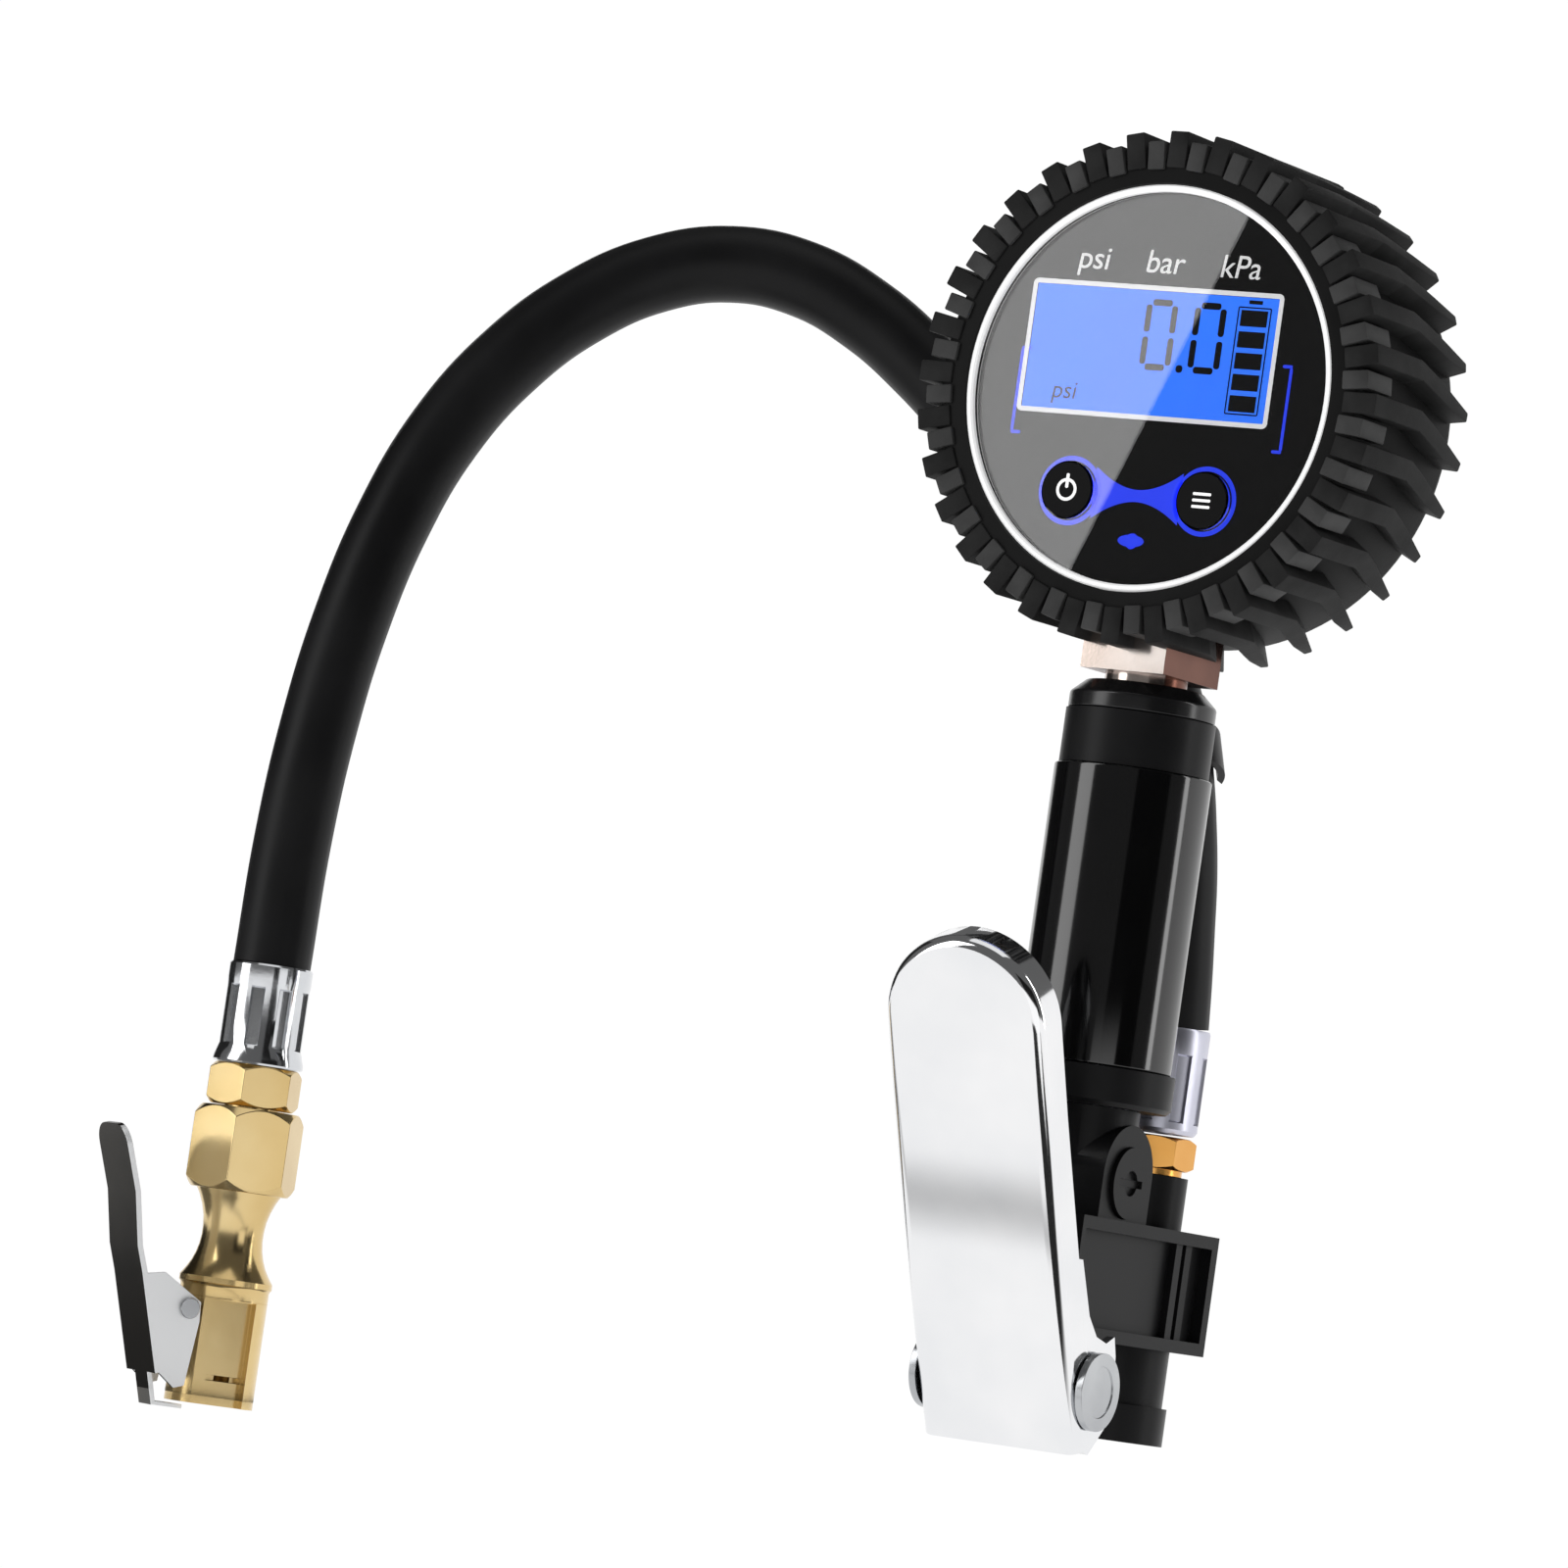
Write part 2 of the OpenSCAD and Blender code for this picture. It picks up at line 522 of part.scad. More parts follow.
module chuck_pin() color("#c4c6c8") at_chuck() translate([clip_u, 0, clip_z]) {
    reach = cheek_w + cheek_t;
    translate([0, reach + 0.6, 0]) rotate([90, 0, 0]) cylinder(r = 1, h = 2 * reach + 1.2);
    for (s = [-1, 1]) translate([0, s * (reach + 0.5) + 0.25, 0]) rotate([90, 0, 0])
        cylinder(r = 1.7, h = 0.5);
}
module chuck_clip_spring() color("#b9bbbd") at_chuck() for (s = [-1, 1])
    translate([clip_u, s * 3.5 + 0.9, clip_z]) rotate([90, 0, 0])
        coil(1.5, 0.28, 1.8, 2);
module core_spring() color("#b9bbbd") at_chuck() translate([0, 0, 0.1]) coil(1.6, 0.22, 6.8, 6);

// ---- moving pieces ----

// The trigger's outline, square to its face near the top: a round end of radius r and straight sides.
module lever_outline(r) translate([0, lever_top[0], lever_top[1]]) rotate([lever_tilt - 90, 0, 0])
    translate([0, 0, -20]) linear_extrude(60) {
        translate([0, lever_hw]) circle(r = r);
        translate([-r, lever_hw]) square([2 * r, 90]);
    }
module lever_slab(hw, k0, k1, inset0, inset1) intersection() {
    side_plate(-hw - 1, hw + 1) polygon(concat(lever_line(k0, k1, inset0, 14),
        reversed(lever_line(k0, k1, inset1, 14))));
    lever_outline(hw);
}
module lever() color("#dfe0e2") difference() {
    union() {
        difference() {
            lever_slab(lever_hw, 0, 1, 0, flange_d);
            lever_slab(lever_hw - lever_t, -0.06, 1.06, lever_t, flange_d + 3);
        }
        on_both_sides() side_plate(lever_hw - lever_t - ear_step, lever_hw - ear_step) lever_ear();
    }
    at_pivot() along_x(pivot_r + fit, -20, 20);
}
module lever_ear() polygon([
    lever_point(0.012, 0.7), [pivot_y + 1.5, -2.6], [pivot_y + 6.5, 2.6], [pivot_y + 7, 7], [pivot_y + 6.2, 13],
    [pivot_y + 5, 16], [pivot_y + 2.6, 14.8], [pivot_y - 0.8, 15.6], [pivot_y - 4, 18.6],
    [pivot_y - 8.6, 27], lever_point(0.4, 1)]);
plunger_tip = lever_point((valve_z - lever_foot[1]) / (lever_top[1] - lever_foot[1]), lever_t)[0] + 1.1;
module valve_plunger() color("#c9a45a") at_valve() {
    along_y(1.6, plunger_tip, plunger_tip + 1.1);
    along_y(2.6, plunger_tip + 1, plunger_tip + 2);
    along_y(1.8, plunger_tip + 1.9, grip_y + 5);
    along_y(1.4, grip_y + 4.9, grip_y + 12);
    along_y(3.6, grip_y + 11.8, grip_y + 14);
}
module plunger_seal() color("#151515") at_valve() ring_y(3.4, 1.45, grip_y + 11.1, grip_y + 11.75);
module key(x) translate([x, 0, key_z]) {
    along_y(key_r, lens_y - 0.3, plate_y + plate_t + 0.2);
    along_y(key_r + 1, plate_y + plate_t + 0.1, plate_y + plate_t + 0.6);
}
module power_key() color("#101013") key(-key_x);
module unit_key() color("#101013") key(key_x);

module clip_plate() polygon([
    [11.6, -10.8], [16.3, 4.8], [17.8, 8.9], [19.5, 17.4], [23.2, 27.9],
    [24.1, 27.6], [20.4, 17.2], [18.7, 8.7], [17.2, 4.5], [12.5, -11.1]]);
module clip_cheek() polygon([
    [12, -10.8], [16.5, 4.6], [13.2, 5.2], [8.2, 2.3], [6.3, 1.2], [6.1, -2], [7.2, -12.4], [9, -13]]);
module clip_side(w0, w1) translate([0, w1, 0]) rotate([90, 0, 0]) linear_extrude(w1 - w0) children();
module chuck_lever() color("#9a9c98") at_chuck() difference() {
    union() {
        clip_side(-cheek_w - cheek_t, cheek_w + cheek_t) clip_plate();
        clip_side(cheek_w, cheek_w + cheek_t) clip_cheek();
        clip_side(-cheek_w - cheek_t, -cheek_w) clip_cheek();
        clip_side(-2.5, 2.5) polygon([[11.7, -10.7], [12.5, -11.1], [11, -16.2], [5.6, -16.2],
            [5.6, -15.5], [10.4, -15.5]]);
    }
    translate([clip_u, 10, clip_z]) rotate([90, 0, 0]) cylinder(r = 1.06, h = 20);
}
module chuck_core() color("#d9b266") at_chuck() {
    translate([0, 0, -4.9]) cylinder(r = 1, h = 6);
    translate([0, 0, -1.2]) cylinder(r = 2.2, h = 1.2);
}

valve_body();
inlet_insert();
inlet_screen();
side_plugs();
rear_plug();
valve_gland();
gland_seal();
valve_spring();
lever_pin();
core_tube();
bottom_collar();
grip_sleeve();
top_collar();
cap_nut();
gauge_adapter();
adapter_seal();
gauge_case();
gauge_boot();
bezel_ring();
dial_lens();
dial_plate();
lcd_panel();
backlight_panel();
circuit_board();
tact_switches();
status_led();
pressure_sensor();
battery_tray();
battery_cells();
battery_contacts();
battery_door();
door_screws();
hose_nipple();
near_ferrule();
hose();
far_ferrule();
far_nipple();
chuck_body();
chuck_seal();
chuck_pin();
chuck_clip_spring();
core_spring();
lever();
valve_plunger();
plunger_seal();
power_key();
unit_key();
chuck_lever();
chuck_core();
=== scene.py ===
# %% [markdown]
# # A tire inflator gun
# The gun is a pressed steel trigger on a moulded valve body, a round grip, a digital gauge in a rubber
# boot shaped like a tire, and a short hose that ends in a lock-on chuck. The exact model gives every
# place and size. Here each visible piece gets its rounded edges, its small details and its finish.

# %% Load the exact model
import bpy, json, math
from mathutils import Matrix, Vector

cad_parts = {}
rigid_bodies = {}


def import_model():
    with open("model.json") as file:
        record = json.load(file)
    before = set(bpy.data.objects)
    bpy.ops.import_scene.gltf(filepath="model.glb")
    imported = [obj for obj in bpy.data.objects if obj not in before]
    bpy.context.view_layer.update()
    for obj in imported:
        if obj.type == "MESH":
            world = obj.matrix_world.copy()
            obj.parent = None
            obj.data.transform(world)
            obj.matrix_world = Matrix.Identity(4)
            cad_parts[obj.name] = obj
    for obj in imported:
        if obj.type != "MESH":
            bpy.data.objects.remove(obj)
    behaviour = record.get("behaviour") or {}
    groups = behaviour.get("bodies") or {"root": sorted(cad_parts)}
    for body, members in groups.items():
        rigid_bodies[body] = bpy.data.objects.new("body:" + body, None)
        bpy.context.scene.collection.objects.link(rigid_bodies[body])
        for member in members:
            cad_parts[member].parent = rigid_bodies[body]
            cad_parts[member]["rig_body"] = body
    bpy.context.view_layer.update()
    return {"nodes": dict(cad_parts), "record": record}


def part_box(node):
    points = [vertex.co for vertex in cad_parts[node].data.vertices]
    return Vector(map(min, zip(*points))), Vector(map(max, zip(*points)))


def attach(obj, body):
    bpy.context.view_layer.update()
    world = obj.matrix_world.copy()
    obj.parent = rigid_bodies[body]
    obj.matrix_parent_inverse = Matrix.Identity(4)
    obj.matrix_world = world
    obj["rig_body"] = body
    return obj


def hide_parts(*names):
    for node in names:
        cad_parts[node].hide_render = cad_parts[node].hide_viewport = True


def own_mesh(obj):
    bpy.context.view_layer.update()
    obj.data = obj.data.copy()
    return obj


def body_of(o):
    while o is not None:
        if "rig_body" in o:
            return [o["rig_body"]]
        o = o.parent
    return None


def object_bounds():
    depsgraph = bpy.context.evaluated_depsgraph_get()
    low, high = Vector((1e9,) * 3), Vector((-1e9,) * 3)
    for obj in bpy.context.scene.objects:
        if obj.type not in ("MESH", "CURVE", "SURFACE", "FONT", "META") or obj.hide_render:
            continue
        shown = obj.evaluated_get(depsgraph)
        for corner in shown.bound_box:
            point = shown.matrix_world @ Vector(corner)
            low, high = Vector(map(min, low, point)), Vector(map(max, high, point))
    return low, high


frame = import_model()
nodes = frame["nodes"]
record = frame["record"]
MM = 0.001
AXIS = Vector((0, -0.020, 0.163))        # the gauge's centre; its axis is Y
PORT = Vector((0, 0.0035, 0))            # the hose leaves the body here, upwards
CHUCK = Vector((-0.138, -0.046, 0))      # the chuck's axis is Z
CHUCK_TURN = math.radians(-122)
print("loaded", len(nodes), "nodes")

# %% [markdown]
# ## The camera
# A long lens from the right and almost level flattens the perspective, as in a catalogue picture.
# The camera rolls a little, so that the gun leans.

# %% Camera
def look_at(obj, target):
    obj.rotation_mode = "QUATERNION"
    obj.rotation_quaternion = (Vector(target) - obj.location).to_track_quat("-Z", "Y")

camera = bpy.data.objects.new("camera", bpy.data.cameras.new("camera"))
bpy.context.scene.collection.objects.link(camera)
bpy.context.scene.camera = camera
ROLL_DEGREES, LENS_MM = 8.12, 202.1
camera.location = (0.6586, -1.2293, 0.0078)
look_at(camera, (-0.0479, -0.045, 0.0946))
camera.rotation_quaternion = camera.rotation_quaternion @ Matrix.Rotation(
    math.radians(ROLL_DEGREES), 3, "Z").to_quaternion()
camera.data.sensor_width, camera.data.lens = 36, LENS_MM
camera.data.clip_start, camera.data.clip_end = 0.01, 20
print("camera", tuple(round(x, 3) for x in camera.location))

# %% [markdown]
# ## Colours and one helper for shader nodes
# Colours are written as the hex values a painter would pick, and one function turns them into the
# linear light values that a shader wants. One small helper adds any shader node with its links.

# %% Colour and node helpers
def srgb(code):
    parts = [int(code[i:i + 2], 16) / 255 for i in (1, 3, 5)]
    return tuple(c / 12.92 if c <= 0.04045 else ((c + 0.055) / 1.055) ** 2.4 for c in parts) + (1,)

def add(mat, kind, inputs=None, **settings):
    made = mat.node_tree.nodes.new(kind)
    for name, value in settings.items():
        setattr(made, name, value)
    for name, value in (inputs or {}).items():
        if isinstance(value, bpy.types.NodeSocket):
            mat.node_tree.links.new(value, made.inputs[name])
        else:
            made.inputs[name].default_value = value
    return made

# %% [markdown]
# ## How every finish is built
# A real surface is never one flat value. Each finish below starts from its material's usual colour,
# metallic and roughness. Slow mottling moves the colour and gloss a little over 10 to 30 mm, as
# moulding, plating and handling do, and a fine grain of a stated size in millimetres bumps the surface.
# Stretching the grain along one axis gives the marks of turning or brushing.

# %% Finish maker
def finish(name, colour, worn, rough, grain_mm, bump_mm, metal=0.0, stretch=(1, 1, 1), patch_mm=18,
           rough_range=0.06, **uniform):
    mat = bpy.data.materials.new(name)
    mat.use_nodes = True
    shader = mat.node_tree.nodes["Principled BSDF"]
    place = add(mat, "ShaderNodeTexCoord").outputs["Object"]
    drawn = add(mat, "ShaderNodeMapping", {"Vector": place, "Scale": stretch}).outputs[0]
    patches = add(mat, "ShaderNodeTexNoise", {"Vector": place, "Scale": 1000 / patch_mm, "Detail": 3.0})
    grain = add(mat, "ShaderNodeTexNoise", {"Vector": drawn, "Scale": 1000 / grain_mm, "Detail": 2.0})
    share = add(mat, "ShaderNodeMapRange", {"Value": patches.outputs[0], 1: 0.35, 2: 0.7})
    tone = add(mat, "ShaderNodeMix", {0: share.outputs[0], 6: srgb(colour), 7: srgb(worn)},
               data_type="RGBA")
    gloss = add(mat, "ShaderNodeMapRange", {"Value": patches.outputs[0], 1: 0.3, 2: 0.7,
                3: max(0.0, rough - rough_range / 2), 4: rough + rough_range / 2})
    relief = add(mat, "ShaderNodeBump", {"Height": grain.outputs[0], "Strength": 0.6,
                 "Distance": bump_mm * MM})
    for socket, value in {"Base Color": tone.outputs[2], "Roughness": gloss.outputs[0],
                          "Normal": relief.outputs[0]}.items():
        mat.node_tree.links.new(value, shader.inputs[socket])
    shader.inputs["Metallic"].default_value = metal
    for socket, value in uniform.items():
        shader.inputs[socket.replace("_", " ")].default_value = value
    return mat

# %% [markdown]
# ## Plastics and rubbers
# ABS moulded in a spark-eroded tool has a fine stipple of about 0.4 mm. The grip's tool was polished,
# so it is glossy. The boot is a soft rubber whose tread ribs have scuffed to a lighter grey. Its lugs
# are lighter still: scuffing and painted light on their faces.

# %% Plastics and rubbers
moulded_abs = finish("black moulded ABS", "#121213", "#1A1A1B", 0.36, 0.45, 0.012,
    Specular_IOR_Level=0.14)
polished_abs = finish("polished black ABS", "#050506", "#09090A", 0.1, 1.5, 0.001, rough_range=0.03,
                      Specular_IOR_Level=0.75)
cap_abs = finish("satin black turned ABS", "#101011", "#171718", 0.22, 0.4, 0.004, stretch=(1, 1, 6))
boot_rubber = finish("black tread rubber", "#121212", "#1C1C1C", 0.56, 0.5, 0.02,
    Specular_IOR_Level=0.08)
# The lugs' lighter grey is part scuffing and part painted light on their faces.
lug_scuff_and_painted_light = finish("scuffed tread lugs with painted light", "#363636", "#464646", 0.62, 0.6, 0.03, patch_mm=7,
    Specular_IOR_Level=0.2)
tread_rubber = finish("scuffed tread rubber", "#1C1C1C", "#2C2C2C", 0.62, 0.6, 0.03, patch_mm=7,
    Specular_IOR_Level=0.12)
hose_rubber = finish("smooth hose rubber", "#121213", "#1A1A1B", 0.42, 0.7, 0.012, stretch=(1, 1, 0.4),
    Specular_IOR_Level=0.16)
seal_rubber = finish("nitrile seal rubber", "#0D0D0D", "#151515", 0.5, 0.5, 0.01)
case_abs = finish("black gauge case ABS", "#17181A", "#202124", 0.4, 0.4, 0.012)
switch_abs = finish("tact switch plastic", "#1C1C1E", "#262628", 0.45, 0.4, 0.006)
key_film = finish("black key film", "#030304", "#060607", 0.45, 0.8, 0.002, Specular_IOR_Level=0.1)
print("plastics ready")

# %% [markdown]
# ## Metals
# Chrome over polished steel mirrors the studio almost perfectly. The brass is turned and tumbled, so
# rings from the cutter stay in it. The crimped ferrules are soft aluminium and nickel-plated steel.
# A metal's colour is that of its reflection.

# %% Metals
chrome = finish("polished chrome plate", "#E9EAEC", "#F2F2F3", 0.09, 2.5, 0.0015, metal=1,
                rough_range=0.04)
pin_steel = finish("ground steel", "#AEB0B3", "#C6C8CA", 0.24, 0.5, 0.004, metal=1, stretch=(6, 1, 1))
olive_plate = finish("dark plated spring steel", "#1F1C15", "#37322A", 0.3, 0.6, 0.004, metal=1,
                     stretch=(1, 1, 5))
# Near-white and barely metallic: a painted reflection standing in for the bright steel of the lever's
# cheeks.
cheek_steel_painted_reflection = finish("bright cheek steel with painted reflection", "#F4F5F6", "#FAFBFC", 0.3, 0.6, 0.004, metal=0.15)
spring_wire = finish("drawn spring wire", "#A9ABAE", "#BDBFC1", 0.25, 0.4, 0.003, metal=1)
turned_brass = finish("turned brass", "#D3B67C", "#E6CD98", 0.19, 0.5, 0.004, metal=1, stretch=(1, 1, 7))
orange_brass = finish("machined brass", "#E0A04C", "#EDB468", 0.24, 0.5, 0.005, metal=1, stretch=(1, 1, 7))
nickel = finish("copper-toned nickel plate", "#D9C6BA", "#F1E8E2", 0.16, 0.5, 0.004, metal=1)
# Dark copper-brown: copper under worn nickel, darkened further as painted shade on the adapter's sides.
copper_and_painted_shade = finish("copper under worn nickel with painted shade", "#5A3A31", "#7A5346", 0.24, 0.5, 0.004, metal=1)
soft_aluminium = finish("tumbled aluminium", "#C3C4D2", "#D6D6E2", 0.33, 0.4, 0.01, metal=1)
bright_crimp = finish("bright nickel crimp", "#D5D7DA", "#E4E5E7", 0.13, 0.6, 0.005, metal=1)
print("metals ready")

# %% [markdown]
# ## The gauge's face
# The dial is a black printed sheet under clear acrylic. The display is a backlit liquid crystal: a flat
# blue glow, so its light is emission. Prints are thin ink, drawn as their own flat shapes. The white
# bezel and the white and blue prints also emit a little: painted glow that makes them brighter.

# %% Face finishes
# Painted glow: the white bezel's emission makes it brighter than the lamps alone would.
white_abs_painted_glow = finish("white bezel ABS with painted glow", "#F4F5F6", "#FAFAFA", 0.3, 0.4, 0.004,
                   Emission_Color=srgb("#FFFFFF"), Emission_Strength=0.3)
dial_ink = finish("black dial print", "#020203", "#040405", 0.6, 0.4, 0.002, Specular_IOR_Level=0.03)
board_resist = finish("green solder resist", "#174F2E", "#1F6B3A", 0.35, 0.5, 0.006)
cell_wrap = finish("battery sleeve", "#2F4F78", "#3C5F8A", 0.3, 1.0, 0.003)
backlight_film = finish("backlight film", "#DCE6F8", "#EEF3FF", 0.4, 1.0, 0.002)
# Painted glow: the white print's emission makes it brighter than the lamps alone would.
white_ink_painted_glow = finish("white dial print with painted glow", "#F2F2F2", "#FAFAFA", 0.5, 0.5, 0.001,
                   Emission_Color=srgb("#FFFFFF"), Emission_Strength=0.35)
# Painted glow on the blue prints; on the LED piece the same emission is its own light.
blue_print_painted_glow_and_led_light = finish("blue dial print with painted glow and LED light", "#1136E8", "#1840FF", 0.5, 0.5, 0.001,
                  Emission_Color=srgb("#1238FF"), Emission_Strength=0.55)
display_blue = finish("backlit liquid crystal", "#155FDE", "#1E78FF", 0.4, 1.0, 0.001,
                      Emission_Color=srgb("#1C74FF"), Emission_Strength=0.68)
segment_ink = finish("dark display segments", "#010204", "#030509", 0.6, 0.5, 0.001,
                     Specular_IOR_Level=0.02)
clear_acrylic = finish("clear acrylic", "#FFFFFF", "#FCFCFC", 0.0, 40.0, 0.000001, rough_range=0.0,
                       Transmission_Weight=1.0, IOR=1.49)
print("face ready")

# %% [markdown]
# ## Every exact piece gets its finish
# The record names a finish for each piece, and this table says which material that is.

# %% Finishes on the exact pieces
FINISH_OF = {
    "body_plastic": moulded_abs, "grip_plastic": polished_abs, "boot_rubber": boot_rubber,
    "seal_rubber": seal_rubber, "hose_rubber": hose_rubber, "chrome_lever": chrome, "steel": pin_steel,
    "plated_steel": olive_plate, "spring_steel": spring_wire, "brass": turned_brass, "nickel": nickel,
    "aluminium": soft_aluminium, "bright_ferrule": bright_crimp, "case_plastic": case_abs,
    "white_ring": white_abs_painted_glow, "lens": clear_acrylic, "dial_black": dial_ink, "lcd": display_blue,
    "backlight": backlight_film, "board": board_resist, "switch_plastic": switch_abs,
    "key_plastic": key_film, "led": blue_print_painted_glow_and_led_light, "cell": cell_wrap,
}
slot_of = {part["node"]: part["material_slot"] for part in record["subparts"]}
for name, obj in nodes.items():
    obj.data.materials.clear()
    obj.data.materials.append(FINISH_OF[slot_of[name]])
nodes["hose_nipple"].data.materials[0] = orange_brass
nodes["cap_nut"].data.materials[0] = cap_abs
print("finished", len(slot_of), "exact pieces")

# %% [markdown]
# ## Modelling helpers
# An operator acts on everything selected, so each piece starts by deselecting all. A turned piece is
# drawn as half its outline, point by point, and spun about its axis, as on a lathe.

# %% Modelling helpers
def only(obj):
    bpy.ops.object.select_all(action="DESELECT")
    obj.select_set(True)
    bpy.context.view_layer.objects.active = obj

def started(add_primitive, **where):
    """Adds a primitive while nothing else is selected."""
    bpy.ops.object.select_all(action="DESELECT")
    add_primitive(**where)
    return bpy.context.object

def keep(obj, name, material, body, slot, *stands_for):
    """Names a finished piece, fixes its place in its mesh and hands it to a body."""
    only(obj)
    bpy.ops.object.transform_apply(location=True, rotation=True, scale=True)
    obj.name = name
    obj.data.materials.clear()
    obj.data.materials.append(material)
    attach(obj, body)
    if stands_for:
        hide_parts(*stands_for)
    return obj

def turned(points, centre, axis, steps=96):
    """points are (radius, height) from the axis at centre, in millimetres; axis is Y or Z."""
    def spot(p):
        r, h = p[0] * MM, p[1] * MM
        return centre + (Vector((r, h, 0)) if axis == "Y" else Vector((r, 0, h)))
    started(bpy.ops.mesh.primitive_plane_add, size=0.001, location=(0, 0, 0))
    bpy.ops.object.mode_set(mode="EDIT")
    bpy.ops.mesh.merge(type="CENTER")
    bpy.ops.transform.translate(value=spot(points[0]))
    for a, b in zip(points, points[1:]):
        bpy.ops.mesh.extrude_vertices_move(TRANSFORM_OT_translate={"value": spot(b) - spot(a)})
    bpy.ops.mesh.select_all(action="SELECT")
    bpy.ops.mesh.spin(steps=steps, angle=2 * math.pi, center=centre,
                      axis=(0, 1, 0) if axis == "Y" else (0, 0, 1))
    bpy.ops.mesh.select_all(action="SELECT")
    bpy.ops.mesh.remove_doubles(threshold=1e-6)
    bpy.ops.mesh.normals_make_consistent(inside=False)
    bpy.ops.object.mode_set(mode="OBJECT")
    bpy.ops.object.shade_smooth_by_angle(angle=math.radians(28))
    return bpy.context.object

def rounded(obj, width_mm, segments=3, angle=30, smooth=28):
    only(obj)
    bevel = obj.modifiers.new("soft edges", "BEVEL")
    bevel.width, bevel.segments = width_mm * MM, segments
    bevel.limit_method, bevel.angle_limit = "ANGLE", math.radians(angle)
    bpy.ops.object.modifier_apply(modifier=bevel.name)
    bpy.ops.object.shade_smooth_by_angle(angle=math.radians(smooth))
    # Large faces keep their own direction, and only the rounding between them bends the light.
    flat = obj.modifiers.new("flat faces", "WEIGHTED_NORMAL")
    flat.keep_sharp = True
    bpy.ops.object.modifier_apply(modifier=flat.name)
    return obj

def bevelled(obj, chosen, width_mm, segments):
    """Rounds only the edges for which chosen(edge) is true."""
    only(obj)
    bpy.ops.object.mode_set(mode="EDIT")
    bpy.ops.mesh.select_mode(type="EDGE")
    bpy.ops.mesh.select_all(action="DESELECT")
    bpy.ops.object.mode_set(mode="OBJECT")
    for edge in obj.data.edges:
        edge.select = chosen(edge)
    bpy.ops.object.mode_set(mode="EDIT")
    bpy.ops.mesh.bevel(offset=width_mm * MM, segments=segments, affect="EDGES", clamp_overlap=False)
    bpy.ops.mesh.select_mode(type="VERT")
    bpy.ops.object.mode_set(mode="OBJECT")

def cut_by(obj, tool, operation):
    """Cuts obj with the tool, or keeps what they share, and removes the tool."""
    only(obj)
    cut = obj.modifiers.new("cut", "BOOLEAN")
    cut.operation, cut.object = operation, tool
    bpy.ops.object.modifier_apply(modifier=cut.name)
    bpy.data.objects.remove(tool)

# %% [markdown]
# ## Softened copies
# Where the exact shape is already right, its copy only needs the small rounding that moulding,
# pressing and tumbling leave on every edge. The rounding is what catches light along an edge.

# %% Softened copies of the exact pieces
def copy_of(node):
    obj = bpy.data.objects.new(node + "_shape", nodes[node].data.copy())
    bpy.context.scene.collection.objects.link(obj)
    only(obj)
    bpy.ops.mesh.customdata_custom_splitnormals_clear()
    bpy.ops.object.mode_set(mode="EDIT")
    bpy.ops.mesh.select_all(action="SELECT")
    bpy.ops.mesh.remove_doubles(threshold=2e-6)
    bpy.ops.mesh.dissolve_limited(angle_limit=math.radians(1))
    bpy.ops.object.mode_set(mode="OBJECT")
    return obj

ROUNDING_MM = {
    "valve_body": 0.5, "bottom_collar": 0.4, "grip_sleeve": 0.4, "top_collar": 0.5, "cap_nut": 0.3,
    "lever_pin": 0.35, "chuck_pin": 0.2, "side_plugs": 0.03, "rear_plug": 0.2, "inlet_insert": 0.2,
    "battery_door": 0.3, "valve_gland": 0.2,
}
for name, width in ROUNDING_MM.items():
    shape = rounded(copy_of(name), width)
    keep(shape, name + "_shape", nodes[name].data.materials[0], body_of(nodes[name])[0],
         slot_of[name], name)
print("softened", len(ROUNDING_MM), "pieces")

# %% [markdown]
# ## The adapter block
# The square block under the gauge is milled from bar and plated with nickel over copper. The nickel is
# bright on the front. The faces at the right that look away from the front, on the side and the neck,
# are a dark copper-brown: copper under worn nickel, and painted shade.

# %% Adapter block
BLOCK_FOOT_Z, LOWERED_MM = 0.1205, 1.5
adapter = copy_of("gauge_adapter")
for point in adapter.data.vertices:                   # the block's foot reaches close to the cap nut
    if abs(point.co.z - BLOCK_FOOT_Z) < 1e-5:
        point.co.z -= LOWERED_MM * MM
rounded(adapter, 0.5)
adapter = keep(adapter, "gauge_adapter_shape", nickel, "handle", "nickel", "gauge_adapter")
adapter.data.materials.append(copper_and_painted_shade)
# Painted shade with copper tone: faces right of x = -6 mm that look away from the front get the dark finish.
for face in adapter.data.polygons:
    if face.normal.y > -0.6 and face.center.x > -6 * MM:
        face.material_index = 1
print("adapter", len(adapter.data.polygons), "faces")

# %% [markdown]
# ## Springs
# The valve's spring and the chuck's spring are squeezed when their pins move. Here each coil is a
# smoothed copy of the exact coil, with a mesh of its own, riding on the handle.

# %% Springs
def spring(node):
    coil = copy_of(node)
    bpy.ops.object.shade_smooth_by_angle(angle=math.radians(75))
    keep(coil, node + "_coil", spring_wire, "handle", slot_of[node], node)
    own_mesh(coil)
    return coil

spring("valve_spring")
core_coil = spring("core_spring")
print("springs made")

# %% [markdown]
# ## Brass nuts and the turned chuck
# A hex is sawn from bar, and its corners are then turned off on the lathe at 30 degrees. So each nut is
# a six-sided prism, cut to what it shares with a turned blank. The chuck's waist is a plain turned
# outline, and its barrel with the flats and the socket is the exact shape's own lower end.

